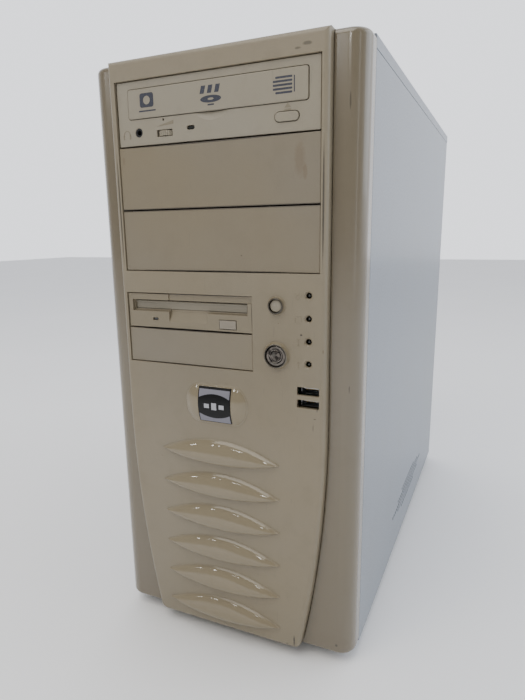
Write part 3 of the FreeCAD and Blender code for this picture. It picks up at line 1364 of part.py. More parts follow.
pieces = {
    "bezel_frame": bezel_frame,
    "front_panel": front_panel,
    "bay_covers": bay_covers,
    "small_bay_cover": small_bay_cover,
    "badge": badge,
    "power_button": power_button,
    "reset_button": reset_button,
    "switch_board": switch_board,
    "indicator_lamps": indicator_lamps,
    "usb_sockets": usb_sockets,
    "bottom_pan": bottom_pan,
    "feet": feet,
    "rear_plate": rear_plate,
    "front_plate": front_plate,
    "motherboard_tray": motherboard_tray,
    "drive_cage_upper": drive_cage_upper,
    "drive_cage_lower": drive_cage_lower,
    "top_cover": top_cover,
    "right_panel": right_panel,
    "left_panel": left_panel,
    "right_thumbscrew_lower": thumbscrew_at(1, 0),
    "right_thumbscrew_upper": thumbscrew_at(1, 1),
    "left_thumbscrew_lower": thumbscrew_at(-1, 0),
    "left_thumbscrew_upper": thumbscrew_at(-1, 1),
    "optical_case": optical_case,
    "optical_bezel": optical_bezel,
    "optical_tray": optical_tray,
    "tray_front": tray_front,
    "optical_carriage": optical_carriage,
    "disc_spindle": disc_spindle,
    "optical_eject_button": optical_eject_button,
    "volume_wheel": volume_wheel,
    "headphone_jack": headphone_jack,
    "floppy_case": floppy_case,
    "floppy_bezel": floppy_bezel,
    "floppy_door": floppy_door,
    "floppy_eject_button": floppy_eject_button,
    "hard_disk_body": hard_disk_body,
    "hard_disk_board": hard_disk_board,
    "psu_case": psu_case,
    "psu_inlet": psu_inlet,
    "psu_switch_housing": psu_switch_housing,
    "psu_rocker": psu_rocker,
    "psu_board": psu_board,
    "psu_fan_frame": psu_fan_frame,
    "psu_fan_rotor": psu_fan_rotor,
    "rear_fan_frame": rear_fan_frame,
    "rear_fan_rotor": rear_fan_rotor,
    "motherboard": motherboard,
    "board_components": board_components,
    "board_sockets": board_sockets,
    "memory_modules": memory_modules,
    "graphics_card": graphics_card,
    "slot_covers": slot_covers,
    "io_shield": io_shield,
    "io_ports": io_ports,
    "cpu_heatsink": cpu_heatsink,
    "cpu_fan_frame": cpu_fan_frame,
    "cpu_fan_rotor": cpu_fan_rotor,
    "case_screws": case_screws,
}

os.makedirs("parts", exist_ok=True)
for name, build in pieces.items():
    shape = build()
    shape.translate(V(0, -middle_y, 0))
    shape.exportStep("parts/" + name + ".step")
    print(name, len(shape.Solids), round(shape.Volume / 1000, 2))
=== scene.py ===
import bpy
import json
import math
import mathutils
import numpy as np
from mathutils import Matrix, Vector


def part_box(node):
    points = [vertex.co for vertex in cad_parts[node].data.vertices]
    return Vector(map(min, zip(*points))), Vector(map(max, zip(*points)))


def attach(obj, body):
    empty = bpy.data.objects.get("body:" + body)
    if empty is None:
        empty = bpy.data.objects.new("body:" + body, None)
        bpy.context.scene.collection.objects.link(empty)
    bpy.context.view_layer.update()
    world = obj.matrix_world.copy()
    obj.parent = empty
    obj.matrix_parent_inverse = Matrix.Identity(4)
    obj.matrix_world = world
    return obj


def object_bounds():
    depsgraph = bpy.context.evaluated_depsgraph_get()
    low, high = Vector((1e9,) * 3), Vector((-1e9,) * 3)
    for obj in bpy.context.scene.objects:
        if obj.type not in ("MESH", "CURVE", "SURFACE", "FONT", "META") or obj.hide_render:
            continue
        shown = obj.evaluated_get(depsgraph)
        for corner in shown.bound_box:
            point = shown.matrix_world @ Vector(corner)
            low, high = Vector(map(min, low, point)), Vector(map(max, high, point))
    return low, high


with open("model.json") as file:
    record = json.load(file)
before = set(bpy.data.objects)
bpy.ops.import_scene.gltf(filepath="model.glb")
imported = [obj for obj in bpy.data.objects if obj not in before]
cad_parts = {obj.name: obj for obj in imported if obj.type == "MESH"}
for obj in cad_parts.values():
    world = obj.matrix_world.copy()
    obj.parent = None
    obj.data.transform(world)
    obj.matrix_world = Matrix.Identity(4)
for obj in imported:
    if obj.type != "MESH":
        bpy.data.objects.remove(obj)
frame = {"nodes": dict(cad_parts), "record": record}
cadLow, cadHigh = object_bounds()
nodes = frame["nodes"]
print("frame loaded,", len(nodes), "nodes")

mm = 0.001
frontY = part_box("front_plate")[0][1] - 29 * mm          # the centre panel's front face


# surfaces from arrays
def gridFaces(rows, cols, wrapRows, wrapCols):
    # quads between neighbouring points of a rows by cols grid, going round where a side wraps
    r = np.arange(rows if wrapRows else rows - 1)
    c = np.arange(cols if wrapCols else cols - 1)
    a, b = np.meshgrid(r, c, indexing="ij")
    a2, b2 = (a + 1) % rows, (b + 1) % cols
    return np.stack([a * cols + b, a * cols + b2, a2 * cols + b2, a2 * cols + b], -1).reshape(-1, 4)


def putMesh(name, verts, faces, body, material, smooth=True):
    mesh = bpy.data.meshes.new(name)
    mesh.from_pydata(np.asarray(verts, float).tolist(), [], [list(map(int, f)) for f in faces])
    mesh.polygons.foreach_set("use_smooth", np.full(len(mesh.polygons), smooth))
    mesh.materials.append(material)
    mesh.update()
    piece = bpy.data.objects.new(name, mesh)
    bpy.context.scene.collection.objects.link(piece)
    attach(piece, body)
    return piece


def tubeSurface(points, capped=True):
    # points is (rows, cols, 3): each row is a closed ring, and the end rings are closed by one face each
    rows, cols = points.shape[:2]
    faces = gridFaces(rows, cols, False, True).tolist()
    if capped:
        faces.append(list(range(cols)))
        faces.append(list(range((rows - 1) * cols, rows * cols))[::-1])
    return points.reshape(-1, 3), faces


def joinParts(parts):
    verts, faces, start = [], [], 0
    for v, f in parts:
        verts.append(np.asarray(v, float))
        faces += [[i + start for i in face] for face in f]
        start += len(v)
    return np.concatenate(verts), faces


def roundedBox(width, height, radius, steps=5):
    # outline of a rectangle with rounded corners about the origin, anticlockwise
    turn = np.linspace(0, np.pi / 2, steps)
    quarter = np.stack([np.cos(turn), np.sin(turn)], -1) * radius
    mid = np.array([width / 2 - radius, height / 2 - radius])
    out = []
    for k in range(4):
        c, s = math.cos(k * math.pi / 2), math.sin(k * math.pi / 2)
        spin = np.array([[c, s], [-s, c]])
        sign = np.array([[1, 1], [-1, 1], [-1, -1], [1, -1]][k])
        out.append(quarter @ spin + mid * sign)
    return np.concatenate(out)


# shader helpers
def newMaterial(name):
    material = bpy.data.materials.new(name)
    material.use_nodes = True
    tree = material.node_tree
    tree.nodes.clear()
    out = tree.nodes.new("ShaderNodeOutputMaterial")
    shader = tree.nodes.new("ShaderNodeBsdfPrincipled")
    tree.links.new(shader.outputs[0], out.inputs[0])
    return material, tree, shader


def addNode(tree, kind, props=None, **inputs):
    node = tree.nodes.new(kind)
    for key, value in (props or {}).items():
        setattr(node, key, value)
    for key, value in inputs.items():
        socket = node.inputs[int(key[1:])] if key[0] == "_" else node.inputs[key.replace("_", " ")]
        if isinstance(value, bpy.types.NodeSocket):
            tree.links.new(value, socket)
        else:
            socket.default_value = value
    return node


def objectCoords(tree):
    return addNode(tree, "ShaderNodeTexCoord").outputs["Object"]


def mathNode(tree, operation, a, b=0.0, c=0.0, clamp=False):
    return addNode(tree, "ShaderNodeMath", {"operation": operation, "use_clamp": clamp}, _0=a, _1=b,
                   _2=c).outputs[0]


def times(tree, a, b):
    return mathNode(tree, "MULTIPLY", a, b)


def mapped(tree, value, low, high, newLow, newHigh):
    return addNode(tree, "ShaderNodeMapRange", None, _0=value, _1=low, _2=high, _3=newLow,
                   _4=newHigh).outputs[0]


def noise(tree, scale, detail, where=None, roughness=0.5):
    # cloudy noise on the piece's own coordinates, or on another vector
    return addNode(tree, "ShaderNodeTexNoise", None, Vector=where or objectCoords(tree), Scale=scale,
                   Detail=detail, Roughness=roughness)


def splitAxes(tree):
    return addNode(tree, "ShaderNodeSeparateXYZ", None, _0=objectCoords(tree)).outputs


def mixColour(tree, factor, a, b, blend="MIX"):
    node = tree.nodes.new("ShaderNodeMix")
    node.data_type, node.blend_type = "RGBA", blend
    for socket, value in ((node.inputs[0], factor), (node.inputs[6], a), (node.inputs[7], b)):
        if isinstance(value, bpy.types.NodeSocket):
            tree.links.new(value, socket)
        else:
            socket.default_value = value
    return node.outputs[2]


def band(tree, value, low, high):
    # 0 below low, 1 above high
    return mapped(tree, value, low, high, 0.0, 1.0)


floatSocket, vectorSocket, colourSocket = "NodeSocketFloat", "NodeSocketVector", "NodeSocketColor"


def newGroup(name, inputs, outputs):
    group = bpy.data.node_groups.new(name, "ShaderNodeTree")
    for label, kind, value in inputs:
        socket = group.interface.new_socket(name=label, in_out="INPUT", socket_type=kind)
        socket.default_value = value
    for label, kind in outputs:
        group.interface.new_socket(name=label, in_out="OUTPUT", socket_type=kind)
    return group, group.nodes.new("NodeGroupInput"), group.nodes.new("NodeGroupOutput")


def useGroup(tree, group, **inputs):
    return addNode(tree, "ShaderNodeGroup", {"node_tree": group}, **inputs)


def tone(red, green, blue):
    # a colour picked on screen, 0 to 255, as the shader's linear colour
    c = np.array([red, green, blue]) / 255.0
    c = np.where(c < 0.04045, c / 12.92, ((c + 0.055) / 1.055) ** 2.4)
    return (float(c[0]), float(c[1]), float(c[2]), 1.0)


# effects that several finishes share
def makeMouldedGrain():
    # fine spark-eroded grain plus a slow waviness of the moulding
    inputs = [("Grain", floatSocket, 1800.0), ("Wave", floatSocket, 18.0), ("Wave Share", floatSocket, 0.5)]
    group, start, end = newGroup("mouldedGrain", inputs, [("Height", floatSocket)])
    where = objectCoords(group)
    fine = noise(group, start.outputs[0], 3.0, where, 0.6)
    slow = noise(group, start.outputs[1], 1.0, where)
    share = times(group, slow.outputs["Fac"], start.outputs[2])
    group.links.new(mathNode(group, "ADD", fine.outputs["Fac"], share), end.inputs[0])
    return group


def makeAgedColour():
    # patches of yellowing and a film of grime that gathers in blotches
    group, start, end = newGroup("agedColour", [
        ("Fresh", colourSocket, (1, 1, 1, 1)), ("Yellowed", colourSocket, (1, 1, 1, 1)),
        ("Grime", colourSocket, (0, 0, 0, 1)), ("Yellowing", floatSocket, 0.5),
        ("Grime Amount", floatSocket, 0.2), ("Scale", floatSocket, 6.0)],
        [("Color", colourSocket), ("Grime Mask", floatSocket)])
    where = objectCoords(group)
    patch = noise(group, start.outputs[5], 4.0, where, 0.55)
    yellow = times(group, band(group, patch.outputs["Fac"], 0.32, 0.68), start.outputs[3])
    first = mixColour(group, yellow, start.outputs[0], start.outputs[1])
    finer = times(group, start.outputs[5], 7.3)
    film = noise(group, finer, 6.0, where, 0.65)
    mask = times(group, band(group, film.outputs["Fac"], 0.50, 0.78), start.outputs[4])
    group.links.new(mixColour(group, mask, first, start.outputs[2]), end.inputs[0])
    group.links.new(mask, end.inputs[1])
    return group


def makeSpecks():
    # scattered round specks: only cells whose own random value is high get one
    inputs = [("Scale", floatSocket, 90.0), ("Size", floatSocket, 0.12), ("Share", floatSocket, 0.1)]
    group, start, end = newGroup("specks", inputs, [("Mask", floatSocket)])
    where = objectCoords(group)
    bent = noise(group, 300.0, 1.0, where)
    shifted = addNode(group, "ShaderNodeVectorMath", {"operation": "MULTIPLY_ADD"}, _0=bent.outputs["Color"],
                      _1=(0.0015, 0.0015, 0.0015), _2=where).outputs[0]
    cell = addNode(group, "ShaderNodeTexVoronoi", None, Vector=shifted, Scale=start.outputs[0])
    chosen = addNode(group, "ShaderNodeSeparateColor", None, Color=cell.outputs["Color"])
    here = mathNode(group, "LESS_THAN", chosen.outputs[0], start.outputs[2])
    size = times(group, start.outputs[1], mathNode(group, "ADD", chosen.outputs[1], 0.3))
    dot = mathNode(group, "LESS_THAN", cell.outputs["Distance"], size)
    group.links.new(times(group, here, dot), end.inputs[0])
    return group


def makeScratches():
    # thin broken lines: a noise drawn out along one direction, kept only where it peaks
    inputs = [("Stretch", vectorSocket, (400.0, 400.0, 20.0)), ("Amount", floatSocket, 0.5)]
    group, start, end = newGroup("scratches", inputs, [("Mask", floatSocket)])
    where = objectCoords(group)
    drawn = addNode(group, "ShaderNodeVectorMath", {"operation": "MULTIPLY"}, _0=where,
                    _1=start.outputs[0]).outputs[0]
    lines = noise(group, 1.0, 2.0, drawn)
    zones = noise(group, 14.0, 2.0, where)
    kept = times(group, band(group, lines.outputs["Fac"], 0.66, 0.72),
                 band(group, zones.outputs["Fac"], 0.5, 0.6))
    group.links.new(times(group, kept, start.outputs[1]), end.inputs[0])
    return group


def makeSheetGrain():
    # the drawn grain of rolled sheet, with soft spangle patches
    inputs = [("Stretch", vectorSocket, (40.0, 900.0, 900.0)), ("Spangle", floatSocket, 120.0)]
    group, start, end = newGroup("sheetGrain", inputs, [("Height", floatSocket), ("Patch", floatSocket)])
    where = objectCoords(group)
    drawn = addNode(group, "ShaderNodeVectorMath", {"operation": "MULTIPLY"}, _0=where,
                    _1=start.outputs[0]).outputs[0]
    grain = noise(group, 1.0, 3.0, drawn)
    flake = addNode(group, "ShaderNodeTexVoronoi", None, Vector=where, Scale=start.outputs[1])
    grey = addNode(group, "ShaderNodeSeparateColor", None, Color=flake.outputs["Color"])
    group.links.new(grain.outputs["Fac"], end.inputs[0])
    group.links.new(grey.outputs[0], end.inputs[1])
    return group


def makeSpotMark():
    # one soft-edged, ragged mark: 1 inside an ellipse about Centre, fading out at its edge
    inputs = [("Centre", vectorSocket, (0.0, 0.0, 0.0)), ("Reach", vectorSocket, (1.0, 1.0, 1.0)),
              ("Softness", floatSocket, 0.3), ("Ragged", floatSocket, 0.3)]
    group, start, end = newGroup("spotMark", inputs, [("Mask", floatSocket)])
    where = objectCoords(group)
    away = addNode(group, "ShaderNodeVectorMath", {"operation": "SUBTRACT"}, _0=where,
                   _1=start.outputs[0]).outputs[0]
    away = addNode(group, "ShaderNodeVectorMath", {"operation": "DIVIDE"}, _0=away,
                   _1=start.outputs[1]).outputs[0]
    reach = addNode(group, "ShaderNodeVectorMath", {"operation": "LENGTH"}, _0=away).outputs["Value"]
    ragged = noise(group, 420.0, 4.0, where)
    reach = mathNode(group, "ADD", reach, times(group, mathNode(group, "SUBTRACT", ragged.outputs["Fac"], 0.5),
                                                start.outputs[3]))
    edge = mathNode(group, "SUBTRACT", 1.0, start.outputs[2])
    group.links.new(mapped(group, reach, edge, 1.0, 1.0, 0.0), end.inputs[0])
    return group


def makeLyingDust():
    # dust that settles on what faces up, thicker in clouds
    inputs = [("Amount", floatSocket, 0.25), ("Scale", floatSocket, 140.0)]
    group, start, end = newGroup("lyingDust", inputs, [("Mask", floatSocket)])
    cloud = noise(group, start.outputs[1], 5.0)
    facing = addNode(group, "ShaderNodeSeparateXYZ", None,
                     _0=addNode(group, "ShaderNodeNewGeometry").outputs["Normal"])
    lying = times(group, cloud.outputs["Fac"], band(group, facing.outputs[2], 0.2, 1.0))
    group.links.new(times(group, lying, start.outputs[0]), end.inputs[0])
    return group


def makeTarnish():
    # cloudy dulling of bare metal
    inputs = [("Amount", floatSocket, 0.4), ("Scale", floatSocket, 9.0)]
    group, start, end = newGroup("tarnish", inputs, [("Mask", floatSocket)])
    cloud = noise(group, start.outputs[1], 5.0)
    dull = band(group, cloud.outputs["Fac"], 0.45, 0.75)
    group.links.new(times(group, dull, start.outputs[0]), end.inputs[0])
    return group


spotMark, lyingDust, tarnish = makeSpotMark(), makeLyingDust(), makeTarnish()
mouldedGrain, agedColour, specks = makeMouldedGrain(), makeAgedColour(), makeSpecks()
scratches, sheetGrain = makeScratches(), makeSheetGrain()


def bumped(tree, shader, height, strength, distance):
    bump = addNode(tree, "ShaderNodeBump", None, Strength=strength, Distance=distance, Height=height)
    tree.links.new(bump.outputs[0], shader.inputs["Normal"])


# finishes
def agedPlastic(name, look):
    # aged moulded plastic: yellowed patches, grime, specks, grain, scuffs that dull the gloss, and painted
    # shade
    material, tree, shader = newMaterial(name)
    aged = useGroup(tree, agedColour, Fresh=look["fresh"], Yellowed=look["yellowed"], Grime=look["grime"],
                    Yellowing=look["yellowing"], Grime_Amount=look["grimeAmount"], Scale=look["patchScale"])
    dots = useGroup(tree, specks, Scale=look["speckScale"], Size=look["speckSize"], Share=look["speckShare"])
    lines = useGroup(tree, scratches, Stretch=look["scratchStretch"], Amount=look["scratchAmount"])
    marked = mixColour(tree, dots.outputs[0], aged.outputs[0], look["speck"])
    marked = mixColour(tree, times(tree, lines.outputs[0], look["scuffDepth"]), marked, look["scuff"])
    # painted shade: broad soft dark patches laid over the colour where the face lies in shade
    for centre, reach, strength, colour in look["shades"]:
        spot = useGroup(tree, spotMark, Centre=centre, Reach=reach, Softness=1.0, Ragged=0.08)
        marked = mixColour(tree, times(tree, spot.outputs[0], strength), marked, colour)
    proud = None
    # what stands proud of the face is polished: hoods, swell and rings
    if look["polishedFrom"] is not None:
        apart = splitAxes(tree)
        start, full = look["polishedFrom"] - look["polishStart"], look["polishedFrom"] - look["polishFull"]
        proud = mapped(tree, apart[1], start, full, 0.0, 1.0)
        marked = mixColour(tree, times(tree, proud, look["polishTint"]), marked, look["polished"])
    # marks: spots of dirt and rust, and lines of painted shade along gaps and round buttons
    for centre, reach, strength, colour, soft, ragged in look["marks"]:
        spot = useGroup(tree, spotMark, Centre=centre, Reach=reach, Softness=soft, Ragged=ragged)
        marked = mixColour(tree, times(tree, spot.outputs[0], strength), marked, colour)
    tree.links.new(marked, shader.inputs["Base Color"])
    grain = useGroup(tree, mouldedGrain, Grain=look["grainScale"], Wave=look["waveScale"],
                     Wave_Share=look["waveShare"])
    rough = mapped(tree, grain.outputs[0], 0.3, 1.2, look["roughLow"], look["roughHigh"])
    rough = mathNode(tree, "ADD", rough, times(tree, aged.outputs[1], 0.3), clamp=True)
    height = grain.outputs[0]
    if proud is not None:
        sheen = mapped(tree, grain.outputs[0], 0.3, 1.2, look["polishLow"], look["polishHigh"])
        mixed = addNode(tree, "ShaderNodeMix", {"data_type": "FLOAT"}, _0=proud, _2=rough, _3=sheen)
        rough = mixed.outputs[0]
        height = times(tree, height, mathNode(tree, "SUBTRACT", 1.0, times(tree, proud, look["polishFlat"])))
    tree.links.new(rough, shader.inputs["Roughness"])
    bumped(tree, shader, height, look["bump"], look["bumpDepth"])
    shader.inputs["IOR"].default_value = 1.52
    if look.get("coat"):
        shader.inputs["Coat Weight"].default_value = look["coat"]
        shader.inputs["Coat Roughness"].default_value = look["coatRough"]
    return material


panelLook = dict(fresh=tone(131, 122, 104), yellowed=tone(131, 119, 95), grime=tone(92, 80, 62), yellowing=0.7,
                 grimeAmount=0.16, patchScale=7.0, speck=tone(62, 54, 46), speckScale=95.0, speckSize=0.10,
                 speckShare=0.035, scratchStretch=(900.0, 900.0, 50.0), scratchAmount=0.3,
                 scuff=tone(90, 84, 76), scuffDepth=0.75, grainScale=1250.0, waveScale=16.0, waveShare=0.5,
                 roughLow=0.34, roughHigh=0.50, bump=0.6, bumpDepth=0.00016, shades=(), marks=(),
                 polishedFrom=None)


def lookFrom(base, **changes):
    look = dict(base)
    look.update(changes)
    return look


def onFace(x, z, depth=0.0):
    # a place on the centre panel's face, from millimetres across and up
    return (x * mm, frontY + depth * mm, z * mm)


def spot(x, z, reachX, reachZ, strength, colour, depth=0.0):
    # one ragged mark on the face: place and reach in millimetres
    return (onFace(x, z, depth), (reachX * mm, 0.02, reachZ * mm), strength, colour, 0.5, 0.7)


def edgeGapShade(nodeName, reach):
    # painted shade: dark lines along the four edges of a plate's face, where the gap round it falls dark
    (lowX, _, lowZ), (highX, _, highZ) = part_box(nodeName)
    middleX, middleZ = (lowX + highX) / 2, (lowZ + highZ) / 2
    along, up = (highX - lowX) / 2 * 1.03, (highZ - lowZ) / 2 * 1.03
    flat = [((middleX, frontY, z), (along, 0.02, reach * mm), 0.75, ink, 0.4, 0.2) for z in (lowZ, highZ)]
    return flat + [((x, frontY, middleZ), (reach * mm, 0.02, up), 0.75, ink, 0.4, 0.2) for x in (lowX, highX)]


def ringGapShade(nodeName, reach):
    # painted shade: a dark ring in the gap round a button, on the edge of its hole
    (lowX, _, lowZ), (highX, _, highZ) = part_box(nodeName)
    radius = (highX - lowX) / 2 + reach * mm
    return [(((lowX + highX) / 2, frontY, (lowZ + highZ) / 2), (radius, 0.02, radius), 0.85, ink, 0.12, 0.05)]


# ink is the dark of dirt spots and also of the painted shade in gaps; rust is for rust stains
ink, rust = tone(34, 30, 26), tone(92, 70, 44)
bayLow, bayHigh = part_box("bay_covers")
# painted shade: a dark line across the gap between the two bay covers
bayGapShade = [((0.0, frontY, (bayLow[2] + bayHigh[2]) / 2), (0.3, 0.02, 0.0014), 0.75, ink, 0.5, 0.2)]
plainLook = dict(panelLook)        # the look of parts that are neither polished nor marked
panelLook.update(
    polishedFrom=frontY, polished=tone(134, 123, 99), polishStart=0.0003, polishFull=0.0012, polishTint=0.45,
    polishLow=0.03, polishHigh=0.06, polishFlat=0.93,
    # a soft dark patch at mid height on the panel: painted shade
    shades=[(onFace(-5.0, 232.0), (0.12, 0.05, 0.075), 0.3, tone(84, 78, 68))],
    marks=[spot(73.9, 200.3, 0.4, 2.1, 0.8, ink), spot(71.2, 187.3, 0.3, 3.4, 0.7, ink),
           spot(72.4, 193.5, 1.1, 0.4, 0.6, ink), spot(77.5, 240.0, 0.5, 1.4, 0.5, rust),
           spot(57.6, 15.8, 0.7, 5.8, 0.9, ink), spot(52.0, 12.0, 1.2, 0.9, 0.5, ink),
           spot(46.5, 257.0, 0.5, 0.4, 0.7, rust), spot(66.0, 422.5, 3.5, 1.3, 0.55, ink),
           spot(60.0, 420.6, 2.2, 0.8, 0.5, ink), spot(-52.0, 148.0, 0.6, 0.5, 0.6, rust)]
    # the rings round the buttons and the lines round the bay covers are painted shade
    + ringGapShade("reset_button", 0.3) + ringGapShade("power_button", 0.25) + edgeGapShade("bay_covers", 0.7))
# the columns are the same plastic as the panel but coloured darker: painted shade for the dark room seen in
# their gloss
columnLook = lookFrom(plainLook, fresh=tone(110, 101, 85), yellowed=tone(109, 99, 78), grainScale=900.0,
                      coat=0.35, coatRough=0.06, roughLow=0.16, roughHigh=0.26, bump=0.18, bumpDepth=0.0001,
                      scratchAmount=0.5, scratchStretch=(700.0, 700.0, 30.0),
                      marks=[spot(90.0, 391.0, 0.6, 6, 0.5, ink, 8.0), spot(93.0, 214.0, 0.4, 3, 0.5, ink, 8.0),
                             spot(88.0, 16.0, 1.2, 1.5, 0.6, ink, 8.0)])
coverLook = lookFrom(plainLook, fresh=tone(121, 113, 98), yellowed=tone(123, 111, 87), yellowing=0.8,
                     patchScale=5.0,
                     marks=[spot(61.0, 359.0, 4.2, 12.5, 0.26, rust, 1.0),
                            spot(64.5, 352.0, 1.8, 6, 0.3, rust, 1.0),
                            spot(-70.5, 366.0, 1.6, 3.2, 0.25, rust, 1.0),
                            spot(20.0, 301.0, 0.7, 0.5, 0.6, ink, 1.0)]
                     # the covers' edge lines and the line across their gap are painted shade
                     + edgeGapShade("bay_covers", 1.0) + bayGapShade + edgeGapShade("small_bay_cover", 0.7))
driveLook = lookFrom(plainLook, fresh=tone(141, 134, 119), yellowed=tone(138, 129, 108), roughHigh=0.46)
floppyLook = lookFrom(driveLook, fresh=tone(124, 115, 97), yellowed=tone(122, 111, 89),
                      # its marks are painted shade along the edges of the eject button and the bezel
                      marks=edgeGapShade("floppy_eject_button", 0.6) + edgeGapShade("floppy_bezel", 0.6))
keyLook = lookFrom(driveLook, fresh=tone(136, 128, 116), yellowed=tone(132, 124, 108))
doorLook = lookFrom(plainLook, fresh=tone(126, 121, 108), yellowed=tone(126, 117, 98), grainScale=1200.0)
buttonLook = lookFrom(plainLook, fresh=tone(140, 133, 118), yellowed=tone(137, 128, 106), grainScale=600.0,
                      roughLow=0.2, roughHigh=0.32, bump=0.1)


def paintedSteel(name, look):
    # satin baked paint on sheet: a faint orange peel, a few rubs, a slow change of shade, and painted shade in
    # the vent holes' walls
    material, tree, shader = newMaterial(name)
    aged = useGroup(tree, agedColour, Fresh=look["paint"], Yellowed=look["aged"], Grime=look["grime"],
                    Yellowing=look["fading"], Grime_Amount=look["grimeAmount"], Scale=look["patchScale"])
    lines = useGroup(tree, scratches, Stretch=look["rubStretch"], Amount=look["rubAmount"])
    shade = mixColour(tree, lines.outputs[0], aged.outputs[0], look["rub"])
    apart = splitAxes(tree)
    across = mathNode(tree, "ABSOLUTE", apart[0])
    # painted shade in the vent holes' walls: between the sheet's two faces, within the vent field
    bores = mathNode(tree, "COMPARE", across, cadHigh[0] - 0.5 * mm, 0.42 * mm)
    for value, middle, reach in ((apart[1], look["ventMiddle"], look["ventHalf"]),
                                 (apart[2], look["ventHeight"], look["ventReach"])):
        bores = times(tree, bores, mathNode(tree, "COMPARE", value, middle, reach))
    tree.links.new(mixColour(tree, bores, shade, look["bore"]), shader.inputs["Base Color"])
    peel = noise(tree, look["peelScale"], 2.0)
    dent = noise(tree, look["dentScale"], 1.0)
    dents = times(tree, dent.outputs["Fac"], look["dents"])
    bumped(tree, shader, mathNode(tree, "ADD", peel.outputs["Fac"], dents), look["bump"], look["bumpDepth"])
    rough = mapped(tree, peel.outputs["Fac"], 0.3, 0.7, look["roughLow"], look["roughHigh"])
    tree.links.new(rough, shader.inputs["Roughness"])
    shader.inputs["Coat Weight"].default_value = look["coat"]
    shader.inputs["Coat Roughness"].default_value = look["coatRough"]
    return material


# the paint and aged colours have a blue cast: painted light, the blue of window light on what is cream paint
windowTintedPaintLook = dict(paint=tone(118, 126, 137), aged=tone(119, 125, 130), grime=tone(104, 96, 80), fading=0.6,
                 grimeAmount=0.1, patchScale=4.0, rub=tone(110, 106, 98), rubStretch=(500.0, 22.0, 700.0),
                 # the near black of the vent holes' walls is painted shade
                 rubAmount=0.35, bore=tone(16, 17, 18), ventMiddle=0.0245, ventHalf=0.088, ventHeight=0.046,
                 ventReach=0.016, peelScale=700.0, dentScale=5.0, dents=2.0, bump=0.25, bumpDepth=0.0002,
                 roughLow=0.34, roughHigh=0.44, coat=0.2, coatRough=0.18)


def bareMetal(name, look):
    # rolled or plated metal: drawn grain, spangle and faint tarnish
    material, tree, shader = newMaterial(name)
    sheetMarks = useGroup(tree, sheetGrain, Stretch=look["stretch"], Spangle=look["spangle"])
    tint = mixColour(tree, sheetMarks.outputs[1], look["dark"], look["light"])
    mask = useGroup(tree, tarnish, Amount=look["tarnishAmount"], Scale=look["tarnishScale"]).outputs[0]
    tree.links.new(mixColour(tree, mask, tint, look["tarnish"]), shader.inputs["Base Color"])
    rough = mapped(tree, sheetMarks.outputs[0], 0.3, 0.7, look["roughLow"], look["roughHigh"])
    tree.links.new(mathNode(tree, "ADD", rough, times(tree, mask, 0.3)), shader.inputs["Roughness"])
    bumped(tree, shader, sheetMarks.outputs[0], look["bump"], 0.0001)
    shader.inputs["Metallic"].default_value = 1.0
    return material


zincLook = dict(dark=tone(176, 181, 184), light=tone(192, 196, 198), tarnish=tone(120, 118, 112),
                stretch=(40.0, 60.0, 700.0), spangle=90.0, tarnishScale=9.0, tarnishAmount=0.4, roughLow=0.28,
                roughHigh=0.46, bump=0.2)
steelLook = dict(zincLook, dark=tone(165, 168, 172), light=tone(190, 193, 196), stretch=(30.0, 900.0, 900.0),
                 spangle=30.0, roughLow=0.22, roughHigh=0.38)
aluLook = dict(zincLook, dark=tone(200, 202, 204), light=tone(222, 223, 225), stretch=(60.0, 60.0, 1500.0),
               spangle=20.0, tarnishAmount=0.15, roughLow=0.2, roughHigh=0.34)
castLook = dict(zincLook, dark=tone(120, 122, 126), light=tone(140, 142, 146), stretch=(1200.0, 1200.0, 1200.0),
                spangle=200.0, roughLow=0.45, roughHigh=0.6, bump=0.5)
# the chrome's base colours are set dark: painted reflection, the dark room seen in the mirror set into the
# colour
darkReflectionChromeLook = dict(zincLook, dark=tone(34, 31, 29), light=tone(104, 98, 92), stretch=(260.0, 260.0, 260.0),
                  spangle=420.0, tarnishAmount=0.35, tarnishScale=220.0, roughLow=0.03, roughHigh=0.08,
                  bump=1.0)
knobLook = dict(darkReflectionChromeLook, tarnishAmount=0.3, bump=0.02, spangle=60.0, dark=tone(175, 172, 165),
                light=tone(200, 197, 190), roughLow=0.2, roughHigh=0.32)


def darkPlastic(name, look):
    # dyed black or grey moulding with a little dust on what faces up
    material, tree, shader = newMaterial(name)
    grain = useGroup(tree, mouldedGrain, Grain=look["grainScale"], Wave=30.0, Wave_Share=0.3)
    mask = useGroup(tree, lyingDust, Amount=look["dust"]).outputs[0]
    shade = mixColour(tree, grain.outputs[0], look["dark"], look["light"])
    tree.links.new(mixColour(tree, mask, shade, tone(150, 146, 138)), shader.inputs["Base Color"])
    rough = mapped(tree, grain.outputs[0], 0.3, 1.0, look["roughLow"], look["roughHigh"])
    tree.links.new(rough, shader.inputs["Roughness"])
    bumped(tree, shader, grain.outputs[0], 0.3, 0.0001)
    return material


blackLook = dict(dark=tone(20, 20, 21), light=tone(34, 34, 36), grainScale=1500.0, dust=0.25, roughLow=0.4,
                 roughHigh=0.6)
rubberLook = dict(blackLook, dark=tone(28, 28, 29), light=tone(44, 43, 42), grainScale=900.0, roughLow=0.65,
                  roughHigh=0.85)
socketLook = dict(blackLook, dark=tone(206, 202, 190), light=tone(224, 221, 212), dust=0.1)


